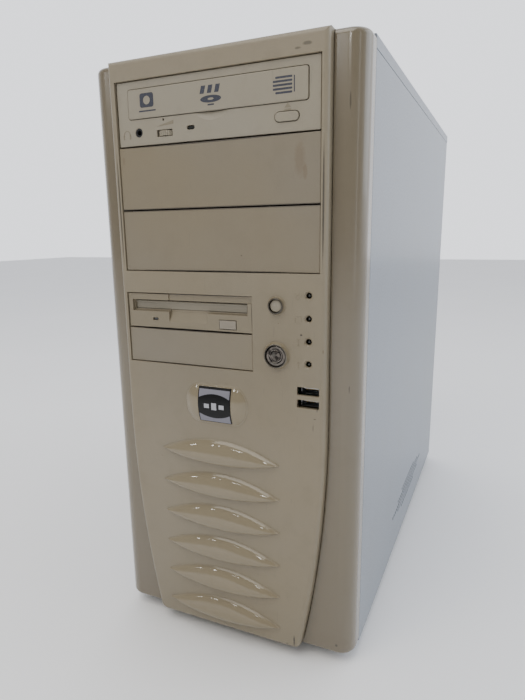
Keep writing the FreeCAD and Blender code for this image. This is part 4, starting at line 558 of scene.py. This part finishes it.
def circuitBoard(name, look):
    # glass-fibre board: solder mask over traces that step between lanes, with plated dots
    material, tree, shader = newMaterial(name)
    where = objectCoords(tree)
    flat = addNode(tree, "ShaderNodeVectorMath", {"operation": "MULTIPLY"}, _0=where,
                   _1=look["plane"]).outputs[0]
    lanes = addNode(tree, "ShaderNodeTexVoronoi", {"distance": "CHEBYCHEV"}, Vector=flat,
                    Scale=look["laneScale"], Randomness=0.6)
    lane = addNode(tree, "ShaderNodeTexWave", {"bands_direction": "DIAGONAL"}, Vector=lanes.outputs["Position"],
                   Scale=60.0)
    wires = addNode(tree, "ShaderNodeTexBrick", {"offset": 0.5}, Vector=flat, _1=(0, 0, 0, 1), _2=(0, 0, 0, 1),
                    _3=(1, 1, 1, 1), Scale=look["wireScale"], _5=0.16, _8=2.6, _9=0.25)
    mask = times(tree, wires.outputs["Fac"], band(tree, lane.outputs["Fac"], 0.35, 0.5))
    pads = addNode(tree, "ShaderNodeTexVoronoi", None, Vector=flat, Scale=look["padScale"], Randomness=0.35)
    pad = mathNode(tree, "LESS_THAN", pads.outputs["Distance"], 0.17)
    cloth = noise(tree, 900.0, 2.0, where)
    base = mixColour(tree, cloth.outputs["Fac"], look["mask"], look["maskLight"])
    base = mixColour(tree, times(tree, mask, 0.6), base, look["trace"])
    base = mixColour(tree, pad, base, look["pad"])
    tree.links.new(base, shader.inputs["Base Color"])
    tree.links.new(times(tree, pad, 0.85), shader.inputs["Metallic"])
    height = mathNode(tree, "ADD", times(tree, mask, 0.5), pad)
    bumped(tree, shader, height, 0.4, 0.00015)
    rough = mapped(tree, cloth.outputs["Fac"], 0.3, 0.7, 0.26, 0.4)
    tree.links.new(rough, shader.inputs["Roughness"])
    return material


def cardFinish(look, bracketY, boardZ):
    material = circuitBoard("graphicsCard", look)
    tree = material.node_tree
    shader = tree.nodes["Principled BSDF"]
    apart = splitAxes(tree)
    bracket = mathNode(tree, "GREATER_THAN", apart[1], bracketY)
    under = mathNode(tree, "LESS_THAN", apart[2], boardZ)
    board = shader.inputs["Base Color"].links[0].from_socket
    plated = shader.inputs["Metallic"].links[0].from_socket
    grain = noise(tree, 500.0, 3.0)
    chip = mixColour(tree, grain.outputs["Fac"], tone(28, 28, 30), tone(52, 52, 54))
    steel = mixColour(tree, grain.outputs["Fac"], tone(168, 170, 172), tone(196, 198, 200))
    tree.links.new(mixColour(tree, bracket, mixColour(tree, under, board, chip), steel),
                   shader.inputs["Base Color"])
    tree.links.new(mathNode(tree, "MAXIMUM", bracket,
                            times(tree, plated, mathNode(tree, "SUBTRACT", 1.0, under))),
                   shader.inputs["Metallic"])
    return material


greenLook = dict(mask=tone(18, 74, 44), maskLight=tone(24, 88, 54), trace=tone(42, 118, 70),
                 pad=tone(196, 190, 170), plane=(1.0, 1.0, 1.0), laneScale=42.0, wireScale=70.0, padScale=210.0)
tanLook = dict(greenLook, mask=tone(140, 106, 62), maskLight=tone(152, 118, 72), trace=tone(166, 134, 86))


def mixedComponents(name):
    # chips, capacitors and coils told apart by a random value of the cell they stand in
    material, tree, shader = newMaterial(name)
    where = objectCoords(tree)
    cell = addNode(tree, "ShaderNodeTexVoronoi", None, Vector=where, Scale=34.0)
    pick = addNode(tree, "ShaderNodeSeparateColor", None, Color=cell.outputs["Color"])
    ramp = addNode(tree, "ShaderNodeValToRGB", None, Fac=pick.outputs[0])
    ramp.color_ramp.interpolation = "CONSTANT"
    kinds = [(0.0, tone(30, 30, 32)), (0.62, tone(38, 44, 92)), (0.74, tone(36, 36, 38)),
             (0.88, tone(120, 88, 42)), (0.95, tone(150, 152, 150))]
    for place, colour in kinds[:2]:
        ramp.color_ramp.elements[0 if place == 0.0 else 1].position = place
        ramp.color_ramp.elements[0 if place == 0.0 else 1].color = colour
    for place, colour in kinds[2:]:
        ramp.color_ramp.elements.new(place).color = colour
    grain = useGroup(tree, mouldedGrain, Grain=1400.0, Wave=60.0, Wave_Share=0.4)
    tree.links.new(mixColour(tree, times(tree, grain.outputs[0], 0.25), ramp.outputs[0], tone(120, 118, 112)),
                   shader.inputs["Base Color"])
    rough = mapped(tree, grain.outputs[0], 0.3, 1.1, 0.32, 0.55)
    tree.links.new(rough, shader.inputs["Roughness"])
    bumped(tree, shader, grain.outputs[0], 0.25, 0.0001)
    return material


def clearResin(name, core, rim):
    # unlit lamp resin: a dark core that shows through a slightly lighter, dusty lens
    material, tree, shader = newMaterial(name)
    cloud = noise(tree, 420.0, 3.0)
    tree.links.new(mixColour(tree, cloud.outputs["Fac"], core, rim), shader.inputs["Base Color"])
    rough = mapped(tree, cloud.outputs["Fac"], 0.3, 0.7, 0.08, 0.22)
    tree.links.new(rough, shader.inputs["Roughness"])
    bumped(tree, shader, cloud.outputs["Fac"], 0.05, 0.0001)
    shader.inputs["Coat Weight"].default_value = 0.6
    shader.inputs["Coat Roughness"].default_value = 0.06
    return material


badgeLook = dict(centreX=-2.2, centreZ=194.7, half=13.0, border=0.7, silver=tone(124, 123, 132),
                 black=tone(5, 5, 6), bar=tone(166, 166, 172), lensTall=9.0, lensDrop=3.4,
                 bars=((-6.0, 1.6), (0.0, 2.6), (6.0, 1.6)), barHalf=2.0, worn=tone(90, 88, 86), wornShare=0.03,
                 roughLow=0.3, roughSpread=0.12)


def badgeFinish():
    # a domed label: black ground and border, silver above and below a dark lens, three plain bars
    look = badgeLook
    material, tree, shader = newMaterial("badgePlate")
    apart = splitAxes(tree)
    x = times(tree, mathNode(tree, "SUBTRACT", apart[0], look["centreX"] * mm), 1.0 / mm)
    z = times(tree, mathNode(tree, "SUBTRACT", apart[2], look["centreZ"] * mm), 1.0 / mm)
    acrossX, acrossZ = mathNode(tree, "ABSOLUTE", x), mathNode(tree, "ABSOLUTE", z)
    inner = look["half"] - look["border"]
    inside = times(tree, mathNode(tree, "LESS_THAN", acrossX, inner),
                      mathNode(tree, "LESS_THAN", acrossZ, inner - 0.2))
    share = mathNode(tree, "POWER", mathNode(tree, "DIVIDE", acrossX, look["half"]), 2.0)
    lens = mathNode(tree, "ADD", times(tree, share, -look["lensDrop"]), look["lensTall"])
    silver = times(tree, inside, mathNode(tree, "GREATER_THAN", acrossZ, lens))
    bars = None
    for barX, tall in look["bars"]:
        away = mathNode(tree, "ABSOLUTE", mathNode(tree, "SUBTRACT", x, barX))
        wide = mathNode(tree, "LESS_THAN", away, look["barHalf"])
        bar = times(tree, wide, mathNode(tree, "LESS_THAN", acrossZ, tall))
        bars = bar if bars is None else mathNode(tree, "ADD", bars, bar)
    grain = noise(tree, 900.0, 2.0)
    shade = mixColour(tree, silver, look["black"], look["silver"])
    shade = mixColour(tree, bars, shade, look["bar"])
    worn = times(tree, grain.outputs["Fac"], look["wornShare"])
    tree.links.new(mixColour(tree, worn, shade, look["worn"]), shader.inputs["Base Color"])
    rough = mathNode(tree, "MULTIPLY_ADD", grain.outputs["Fac"], look["roughSpread"], look["roughLow"])
    tree.links.new(rough, shader.inputs["Roughness"])
    bumped(tree, shader, grain.outputs["Fac"], 0.05, 0.0001)
    shader.inputs["Specular IOR Level"].default_value = 0.25
    return material


finishes = {
    "panel_plastic": agedPlastic("panelPlastic", panelLook),
    "column_plastic": agedPlastic("columnPlastic", columnLook),
    "cover_plastic": agedPlastic("coverPlastic", coverLook),
    "drive_face_plastic": agedPlastic("driveFacePlastic", driveLook),
    "door_plastic": agedPlastic("doorPlastic", doorLook),
    "button_plastic": agedPlastic("buttonPlastic", buttonLook),
    "badge_plate": badgeFinish(),
    "bright_chrome": bareMetal("brightChrome", darkReflectionChromeLook),
    "painted_cover": paintedSteel("paintedCover", windowTintedPaintLook),
    "zinc_sheet": bareMetal("zincSheet", zincLook),
    "drive_steel": bareMetal("driveSteel", steelLook),
    "foot_rubber": darkPlastic("footRubber", rubberLook),
    "black_plastic": darkPlastic("blackPlastic", blackLook),
    "circuit_green": circuitBoard("circuitGreen", greenLook),
    "circuit_tan": circuitBoard("circuitTan", tanLook),
    "component_mix": mixedComponents("componentMix"),
    "socket_plastic": darkPlastic("socketPlastic", socketLook),
    "lamp_resin": clearResin("lampResin", tone(8, 9, 8), tone(20, 22, 18)),
    "bare_aluminium": bareMetal("bareAluminium", aluLook),
    "cast_body": bareMetal("castBody", castLook),
    "port_mix": bareMetal("portMetal", steelLook),
    "screw_steel": bareMetal("screwSteel", dict(steelLook, stretch=(300.0, 300.0, 300.0))),
    "knob_steel": bareMetal("knobSteel", knobLook),
}

ownFinish = {"floppy_bezel": agedPlastic("floppyPlastic", floppyLook),
             "floppy_eject_button": agedPlastic("floppyKeyPlastic", keyLook),
             "graphics_card": cardFinish(greenLook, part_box("rear_plate")[0][1] - 1.2 * mm, 149.05 * mm)}
slotOf = {part["node"]: part["material_slot"] for part in frame["record"]["subparts"]}
for nodeName, slotName in slotOf.items():
    mesh = nodes[nodeName].data
    mesh.materials.clear()
    mesh.materials.append(ownFinish.get(nodeName, finishes[slotName]))
print("finishes on", len(slotOf), "nodes")


# small printed and engraved marks
def flatRing(outer, inner, low, high):
    # a plate with a hole: four loops, outer front and back, inner back and front, closed round
    loops = np.zeros((4, len(outer), 3))
    for k, (loop, level) in enumerate(((outer, low), (outer, high), (inner, high), (inner, low))):
        loops[k, :, 0], loops[k, :, 2], loops[k, :, 1] = np.asarray(loop)[:, 0], np.asarray(loop)[:, 1], level
    return loops.reshape(-1, 3), gridFaces(4, len(outer), True, True).tolist()


def plate(outline, low, high):
    # a filled outline in x and z, anticlockwise seen from the front, between two depths
    outline = np.asarray(outline, float)
    loops = np.zeros((2, len(outline), 3))
    loops[:, :, 0], loops[:, :, 2] = outline[None, :, 0], outline[None, :, 1]
    loops[0, :, 1], loops[1, :, 1] = high, low
    verts, faces = tubeSurface(loops)
    return verts, [f[::-1] for f in faces]


def ribbon(points, width, low, high):
    # a line drawn with a flat pen: the four corners of its section carried along the points
    points = np.asarray(points, float)
    along = np.gradient(points, axis=0)
    along /= np.linalg.norm(along, axis=1)[:, None]
    aside = np.stack([-along[:, 1], along[:, 0]], -1) * width / 2
    rings = np.zeros((len(points), 4, 3))
    for k, (sign, level) in enumerate(((1, low), (-1, low), (-1, high), (1, high))):
        rings[:, k, 0], rings[:, k, 2] = (points + sign * aside).T
        rings[:, k, 1] = level
    return tubeSurface(rings)


def ellipse(x, z, a, b, steps=40, start=0.0, end=2 * np.pi):
    turn = np.linspace(start, end, steps, endpoint=end - start < 6.28)
    return np.stack([x + a * np.cos(turn), z + b * np.sin(turn)], -1)


def rectangle(x, z, width, height, radius, steps=10):
    return roundedBox(width, height, radius, steps) + np.array([x, z])


def scaled(part):
    return np.asarray(part[0]) * mm, part[1]


def marksOn(name, parts, body, material):
    # outlines are in millimetres with y measured from the panel's face
    verts, faces = joinParts([scaled(part) for part in parts])
    verts[:, 1] += frontY
    return putMesh(name, verts, faces, body, material, smooth=False)


printLook = dict(ink=tone(46, 48, 60), worn=tone(72, 73, 82), wornScale=1560.0, roughLow=0.32, roughSpread=0.2)


def makePrintInk():
    # pad-printed ink, slightly worn through
    material, tree, shader = newMaterial("printInk")
    worn = noise(tree, printLook["wornScale"], 3.0)
    through = band(tree, worn.outputs["Fac"], 0.55, 0.7)
    tree.links.new(mixColour(tree, through, printLook["ink"], printLook["worn"]), shader.inputs["Base Color"])
    rough = mathNode(tree, "MULTIPLY_ADD", worn.outputs["Fac"], printLook["roughSpread"], printLook["roughLow"])
    tree.links.new(rough, shader.inputs["Roughness"])
    return material


printInk = makePrintInk()
mouldedMark = agedPlastic("mouldedMark", lookFrom(driveLook, fresh=tone(122, 113, 95),
                                                  yellowed=tone(120, 110, 90)))


def faceDepth(nodeName):
    # how far a node's front stands behind the centre panel's face, in millimetres
    return (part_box(nodeName)[0][1] - frontY) / mm


traySigns = dict(proud=0.06, sunk=0.2, disc=(0.6, 399.4), discReach=(7.6, 2.2), discHole=(2.2, 0.7),
                 strokesX=(-6.2, -0.9, 4.4), strokeFoot=402.9, strokeTop=407.6, strokeWidth=3.1, strokeLean=1.3,
                 frame=(-48.5, 403.6), frameSize=(11.0, 9.0), frameCorner=1.6, frameHole=2.7,
                 frameLine=(-48.2, 396.9, 13.6, 0.9), stack=(50.0, 406.3), stackStep=2.15, stackLine=1.2,
                 stackRows=((11.0, 0.8), (12.6, 0.0), (12.6, 0.0), (12.6, 0.0), (11.0, 0.8)),
                 sideLine=(57.6, 402.0, 0.7, 9.2), footLine=(0.6, 396.0, 4.8, 0.9))


def trayPrint():
    # signs printed on the tray's front: a disc under three strokes, a framed dot and a stack of lines
    look = traySigns
    low, high = faceDepth("tray_front") - look["proud"], faceDepth("tray_front") + look["sunk"]
    foot, top, lean, wide = look["strokeFoot"], look["strokeTop"], look["strokeLean"], look["strokeWidth"]
    parts = [flatRing(ellipse(*look["disc"], *look["discReach"]), ellipse(*look["disc"], *look["discHole"]),
                      low, high)]
    for x in look["strokesX"]:
        left = x - 1.2
        parts.append(plate([(left, foot), (left + wide, foot), (left + wide + lean, top), (left + lean, top)],
                           low, high))
    outer = rectangle(*look["frame"], *look["frameSize"], look["frameCorner"])
    parts.append(flatRing(outer, ellipse(*look["frame"], look["frameHole"], look["frameHole"]), low, high))
    parts.append(plate(rectangle(*look["frameLine"], 0.3, 4), low, high))
    x, z = look["stack"]
    for k, (wide, shift) in enumerate(look["stackRows"]):
        parts.append(plate(rectangle(x + shift, z - look["stackStep"] * k, wide, look["stackLine"], 0.4, 4),
                           low, high))
    parts.append(plate(rectangle(*look["sideLine"], 0.2, 4), low, high))
    parts.append(plate(rectangle(*look["footLine"], 0.3, 4), low, high))
    marksOn("trayPrint", parts, "disc_tray", printInk)


driveSigns = dict(proud=0.12, sunk=0.3, band=(-66.6, 382.6), bandReach=(2.5, 2.9), bandPen=0.45, overhang=0.15,
                  padPen=0.95, pads=(((-69.2, 382.6), (-69.2, 380.9), (-69.0, 379.9)),
                                     ((-64.0, 382.6), (-64.0, 380.9), (-64.2, 379.9))),
                  volumeWedge=((-42.3, 386.3), (-28.6, 387.2), (-28.6, 389.6)),
                  ejectArrow=((50.9, 389.3), (55.3, 389.3), (53.1, 392.0)), ejectLine=(53.1, 388.1, 4.4, 0.8))


def driveMarks():
    # moulded signs on the optical drive: headphones, a volume wedge and an eject arrow
    look = driveSigns
    low, high = faceDepth("optical_bezel") - look["proud"], faceDepth("optical_bezel") + look["sunk"]
    over = look["overhang"]
    parts = [ribbon(ellipse(*look["band"], *look["bandReach"], 14, -over, math.pi + over), look["bandPen"],
                    low, high)]
    parts += [ribbon(pad, look["padPen"], low, high) for pad in look["pads"]]
    parts += [plate(look["volumeWedge"], low, high), plate(look["ejectArrow"], low, high)]
    parts.append(plate(rectangle(*look["ejectLine"], 0.2, 4), low, high))
    marksOn("driveMarks", parts, "chassis", mouldedMark)


panelSigns = dict(x=60.4, proud=0.16, sunk=0.3, sunZ=275.0, sunRadii=(1.5, 1.1), rays=6, rayFrom=1.9, rayTo=3.0,
                  rayTurn=0.3, rayPen=0.45, diskZ=260.0, diskOuter=(4.6, 4.8, 1.1), diskInner=(3.8, 4.0, 0.8),
                  barsZ=(244.9, 229.5), barHalf=1.9, barPen=0.5, serifHalf=0.8, serifPen=0.4, serifOut=2.0)


def panelMarks():
    # moulded signs beside the lamps: a sun for power, a disk, and two plain bars
    look = panelSigns
    low, high, x, z = -look["proud"], look["sunk"], look["x"], look["sunZ"]
    outer, inner = look["sunRadii"]
    parts = [flatRing(ellipse(x, z, outer, outer, 24), ellipse(x, z, inner, inner, 24), low, high)]
    for k in range(look["rays"]):
        c, s = math.cos(k * math.pi / 3 + look["rayTurn"]), math.sin(k * math.pi / 3 + look["rayTurn"])
        ray = [(x + reach * c, z + reach * s) for reach in (look["rayFrom"], look["rayTo"])]
        parts.append(ribbon(ray, look["rayPen"], low, high))
    disk = [rectangle(x, look["diskZ"], *size, 6) for size in (look["diskOuter"], look["diskInner"])]
    parts.append(flatRing(*disk, low, high))
    half, out, tall = look["serifHalf"], look["serifOut"], look["barHalf"]
    for z in look["barsZ"]:
        parts.append(ribbon([(x, z - tall), (x, z + tall)], look["barPen"], low, high))
        for end in (z - out, z + out):
            parts.append(ribbon([(x - half, end), (x + half, end)], look["serifPen"], low, high))
    marksOn("panelMarks", parts, "chassis", finishes["panel_plastic"])


lensPlaces = dict(optical=(-15.2, 383.7, 4.9, 1.7, 0.8), opticalDepth=(0.7, 2.2),
                  floppy=(-51.3, 255.2, 3.0, 1.2, 0.3), floppyDepth=(0.8, 2.0))


def lensesInSlots():
    parts = []
    for nodeName, key in (("optical_bezel", "optical"), ("floppy_bezel", "floppy")):
        low, high = (faceDepth(nodeName) + depth for depth in lensPlaces[key + "Depth"])
        parts.append(plate(rectangle(*lensPlaces[key]), low, high))
    lens = clearResin("driveLampLens", tone(14, 16, 12), tone(30, 32, 24))
    marksOn("driveLamps", parts, "chassis", lens)


tongueLook = dict(heights=(212.0, 203.2), size=(11.2, 1.9), up=0.75, depth=(2.2, 9.0),
                  springsX=(-3.5, -1.0, 1.0, 3.5), springSize=(1.0, 0.4), springDown=0.35,
                  springDepth=(2.6, 8.5), gilt=tone(190, 150, 70), giltLight=tone(214, 178, 96))


def usbTongues():
    # the pale tongue in each front socket with its four gilt springs
    look = tongueLook
    low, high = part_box("usb_sockets")
    middle, depth = (low[0] + high[0]) / 2 / mm, (low[1] - frontY) / mm
    tongues, springs = [], []
    for z in look["heights"]:
        tongues.append(plate(rectangle(middle, z + look["up"], *look["size"], 0.2, 3),
                             *(depth + d for d in look["depth"])))
        for dx in look["springsX"]:
            strip = rectangle(middle + dx, z - look["springDown"], *look["springSize"], 0.1, 3)
            springs.append(plate(strip, *(depth + d for d in look["springDepth"])))
    gilt = bareMetal("giltSpring", dict(steelLook, dark=look["gilt"], light=look["giltLight"]))
    marksOn("usbTongues", tongues, "chassis", finishes["socket_plastic"])
    marksOn("usbSprings", springs, "chassis", gilt)


# rear sockets
rearLook = dict(face=434.5, slotFace=435.5, lift=1.3, sunk=0.4, shellProud=1.6, postReach=3.2,
                postRadii=(2.3, 1.2), postProud=1.2, pinRadius=0.55, ringProud=1.0, giltRadius=0.45,
                giltShare=0.62, plumPlug=tone(92, 66, 128), greenPlug=tone(64, 138, 88),
                tealPlug=tone(36, 104, 104), wineSocket=tone(128, 42, 72), bluePlug=tone(38, 60, 150),
                limeJack=tone(150, 190, 70), skyJack=tone(92, 150, 205), roseJack=tone(214, 130, 150),
                gold=tone(200, 164, 88))


def dyedPlastic(name, colour):
    # colour-coded socket plastic with a fine grain and slight fading
    faded = tuple(min(1.0, c * 1.35 + 0.01) for c in colour[:3]) + (1.0,)
    return darkPlastic(name, dict(blackLook, dark=colour, light=faded, dust=0.15))


def rearMark(name, parts, material):
    marksOn(name, parts, "chassis", material)


def dShape(x, z, wide, tall):
    # the D of a plug: a rounded oblong whose one long side is a tenth shorter than the other
    outline = roundedBox(wide, tall, 1.2, 6)
    outline[:, 1] *= 1.0 - 0.10 * (outline[:, 0] / (wide / 2) + 1.0) / 2 * (1.0 if tall > wide else 0.0)
    outline[:, 0] *= 1.0 - 0.10 * (outline[:, 1] / (tall / 2) + 1.0) / 2 * (1.0 if wide > tall else 0.0)
    return outline + np.array([x, z])


def pinGrid(x, z, columns, rows, pitchX, pitchZ):
    spots = []
    for k in range(columns):
        for m in range(rows):
            spots.append((x + (k - (columns - 1) / 2) * pitchX, z + (m - (rows - 1) / 2) * pitchZ))
    return spots


def dSocket(name, x, z, wide, tall, face, colour, pins):
    # a folded steel rim, its coloured filling, dark pin holes and a hexagon post at each end
    look = rearLook
    low, high = face - look["sunk"], face + look["lift"]
    rim = [flatRing(dShape(x, z, wide, tall), dShape(x, z, wide - 1.0, tall - 1.0), low,
                    high + look["shellProud"])]
    reach = max(wide, tall) / 2 + look["postReach"]
    outer, inner = look["postRadii"]
    for side in (-1, 1):
        px, pz = (x, z + side * reach) if tall > wide else (x + side * reach, z)
        rim.append(flatRing(ellipse(px, pz, outer, outer, 6), ellipse(px, pz, inner, inner, 6), low,
                            high + look["postProud"]))
    rearMark(name + "Shell", rim, finishes["screw_steel"])
    rearMark(name + "Filling", [plate(dShape(x, z, wide - 1.1, tall - 1.1), low, high)],
             dyedPlastic(name + "Dye", colour))
    radius = look["pinRadius"]
    holes = [plate(ellipse(px, pz, radius, radius, 8), high - 0.2, high + 0.05) for px, pz in pins]
    rearMark(name + "Pins", holes, finishes["black_plastic"])


def roundSocket(name, x, z, radius, hole, face, colour, pins):
    # a coloured ring round a dark well, with gilt pins on a circle in it
    look = rearLook
    low = face - look["sunk"]
    ring = flatRing(ellipse(x, z, radius, radius, 32), ellipse(x, z, hole, hole, 32), low,
                    face + look["ringProud"])
    rearMark(name + "Ring", [ring], dyedPlastic(name + "Dye", colour))
    well = ellipse(x, z, hole + 0.1, hole + 0.1, 32)
    rearMark(name + "Well", [plate(well, low, face + 0.15)], finishes["black_plastic"])
    if pins:
        circle, radius = look["giltShare"] * hole, look["giltRadius"]
        dots = [plate(ellipse(x + circle * math.cos(a), z + circle * math.sin(a), radius, radius, 8), face,
                      face + 0.35)
                for a in pins]
        rearMark(name + "Pins", dots, bareMetal(name + "Gilt",
                                                dict(steelLook, dark=look["gold"], light=look["gold"])))


def rearUsb(k, x, z, face):
    rim = flatRing(rectangle(x, z, 13.4, 5.6, 0.5, 4), rectangle(x, z, 12.6, 4.8, 0.4, 4), face - 0.3,
                   face + 1.4)
    rearMark("rearUsbRim" + str(k), [rim], finishes["screw_steel"])
    well = plate(rectangle(x, z, 12.7, 4.9, 0.3, 4), face - 0.3, face + 0.1)
    rearMark("rearUsbWell" + str(k), [well], finishes["black_plastic"])
    tongue = plate(rectangle(x, z + 0.9, 10.6, 1.7, 0.2, 4), face - 0.2, face + 1.1)
    rearMark("rearUsbTongue" + str(k), [tongue], finishes["socket_plastic"])


def rearSockets():
    look, face = rearLook, rearLook["face"]
    angles = [math.pi * k / 3 + 0.26 for k in range(6)]
    roundSocket("mouseSocket", 49.1, 308.2, 6.0, 4.6, face, look["greenPlug"], angles)
    roundSocket("keyboardSocket", 62.6, 308.2, 6.0, 4.6, face, look["plumPlug"], angles)
    for k, z in enumerate((286.7, 293.9)):
        rearUsb(k, 61.4, z, face)
    serial = pinGrid(63.1, 263.7, 2, 4, 2.8, 2.8) + [(61.7, 269.3)]
    dSocket("serialSocket", 63.1, 263.7, 8.4, 18.0, face, look["tealPlug"], serial)
    printer = pinGrid(41.6, 260.2, 2, 12, 2.8, 2.8) + [(40.2, 277.0)]
    dSocket("printerSocket", 41.6, 260.2, 8.6, 45.0, face, look["wineSocket"], printer)
    dSocket("monitorSocket", 63.1, 228.7, 8.4, 17.0, face, look["bluePlug"],
            pinGrid(63.1, 228.7, 3, 5, 2.0, 2.3))
    for k, (z, dye) in enumerate(((202.5, "skyJack"), (190.0, "limeJack"), (177.5, "roseJack"))):
        roundSocket("audioJack" + str(k), 63.1, z, 4.3, 1.9, face, look[dye], ())
    dSocket("cardSocket", 22.3, 149.9, 17.0, 8.0, look["slotFace"], look["bluePlug"],
            pinGrid(22.3, 149.9, 5, 3, 2.3, 2.0))


ribLook = dict(x=18.0, firstZ=28.0, pitch=20.32, count=6, size=(78.0, 3.2), corner=1.5, low=429.4, high=430.35)


def ventedBlanks():
    # a shallow stiffening rib pressed along each card blank
    look = ribLook
    ribs = []
    for k in range(look["count"]):
        outline = rectangle(look["x"], look["firstZ"] + look["pitch"] * k, *look["size"], look["corner"], 8)
        ribs.append(plate(outline, look["low"], look["high"]))
    marksOn("blankRibs", ribs, "chassis", finishes["drive_steel"])


rearSockets()
ventedBlanks()
print("rear sockets made")
trayPrint()
driveMarks()
panelMarks()
lensesInSlots()
usbTongues()
print("prints, signs and lenses made")


# camera, light and floor
view = dict(lens=27.96, shiftX=0.0009, shiftY=0.0112, place=(0.18207, -0.545276, 0.315374),
            right=(0.9132305, 0.4072170, -0.0135797), up=(-0.0789612, 0.2095801, 0.9745980),
            forward=(-0.3997189, 0.8889603, -0.2235493))


def placeCamera():
    data = bpy.data.cameras.new("viewCamera")
    data.sensor_fit, data.sensor_width = "AUTO", 36.0
    data.lens = view["lens"]
    data.shift_x, data.shift_y = view["shiftX"], view["shiftY"]
    data.clip_start, data.clip_end = 0.01, 50.0
    camera = bpy.data.objects.new("viewCamera", data)
    turn = [[r, u, -f, p] for r, u, f, p in zip(view["right"], view["up"], view["forward"], view["place"])]
    camera.matrix_world = mathutils.Matrix(turn + [[0.0, 0.0, 0.0, 1.0]])
    bpy.context.scene.collection.objects.link(camera)
    bpy.context.scene.camera = camera


def areaLight(name, place, aim, width, height, power, colour):
    data = bpy.data.lights.new(name, "AREA")
    data.shape, data.size, data.size_y = "RECTANGLE", width, height
    data.energy, data.color = power, colour
    lamp = bpy.data.objects.new(name, data)
    lamp.location = place
    toward = mathutils.Vector(aim) - mathutils.Vector(place)
    lamp.rotation_euler = toward.to_track_quat("-Z", "Y").to_euler()
    bpy.context.scene.collection.objects.link(lamp)


studio = dict(
    front=0.30, back=1.75, tint=(0.93, 0.95, 1.0), fadeFrom=-0.5, fadeTo=0.55,
    panels=dict(        # place, what it looks at, width, height, power and colour
        sideWindow=((1.9, 0.5, 1.2), (0.0, -0.1, 0.2), 1.6, 1.6, 14.0, (0.80, 0.89, 1.0)),
        ceilingPanel=((-0.25, -1.15, 1.9), (0.0, -0.2, 0.2), 1.5, 1.5, 25.5, (1.0, 0.96, 0.88)),
        edgeStrip=((1.25, -1.1, 0.8), (0.0, -0.2, 0.25), 0.07, 1.5, 1.0, (0.95, 0.97, 1.0))),
    lampsX=(-1.6, -1.05, -0.5, 0.05), lampY=-1.9, lampZ=1.0, lampAim=(0.0, -0.22, 0.12), lampSize=0.09,
    lampPower=1.0, lampColour=(1.0, 0.98, 0.94))


def makeStudio():
    # soft surround, dimmer on the front's side, so that the front is lit from above as well as all round
    world = bpy.data.worlds.new("studioWorld")
    world.use_nodes = True
    tree = world.node_tree
    back = tree.nodes["Background"]
    around = addNode(tree, "ShaderNodeTexCoord").outputs["Generated"]
    apart = addNode(tree, "ShaderNodeSeparateXYZ", None, _0=around).outputs
    level = addNode(tree, "ShaderNodeMapRange", {"interpolation_type": "SMOOTHSTEP"}, _0=apart[1],
                    _1=studio["fadeFrom"], _2=studio["fadeTo"], _3=studio["front"], _4=studio["back"])
    back.inputs[0].default_value = (*studio["tint"], 1.0)
    tree.links.new(level.outputs[0], back.inputs[1])
    bpy.context.scene.world = world
    for name, panel in studio["panels"].items():
        areaLight(name, *panel)
    size = studio["lampSize"]
    # a row of small lamps that show as bright points on the hoods
    for k, x in enumerate(studio["lampsX"]):
        areaLight("ceilingLamp" + str(k), (x, studio["lampY"], studio["lampZ"]), studio["lampAim"], size, size,
                  studio["lampPower"], studio["lampColour"])


floorLook = dict(room=6.0, cells=24, sink=0.0004, slope=0.0002, shade=tone(240, 240, 241),
                 light=tone(246, 246, 247), cloudScale=3.0, rough=0.7)


def makeFloor():
    # a square sheet of many cells, raised by next to nothing in the middle so it isn't quite a plane
    steps = floorLook["cells"]
    u = np.linspace(-floorLook["room"], floorLook["room"], steps)
    x, y = np.meshgrid(u, u, indexing="ij")
    z = -floorLook["sink"] - floorLook["slope"] * (np.abs(x) + np.abs(y))
    faces = gridFaces(steps, steps, False, False)[:, ::-1]
    mesh = bpy.data.meshes.new("studioFloor")
    mesh.from_pydata(np.stack([x, y, z], -1).reshape(-1, 3).tolist(), [], faces.tolist())
    mesh.update()
    floor = bpy.data.objects.new("studioFloor", mesh)
    bpy.context.scene.collection.objects.link(floor)
    material, tree, shader = newMaterial("paleFloor")
    cloud = noise(tree, floorLook["cloudScale"], 3.0)
    mixed = mixColour(tree, cloud.outputs["Fac"], floorLook["shade"], floorLook["light"])
    tree.links.new(mixed, shader.inputs["Base Color"])
    shader.inputs["Roughness"].default_value = floorLook["rough"]
    mesh.materials.append(material)


placeCamera()
makeStudio()
makeFloor()
print("camera, light and floor set")

bpy.context.view_layer.update()
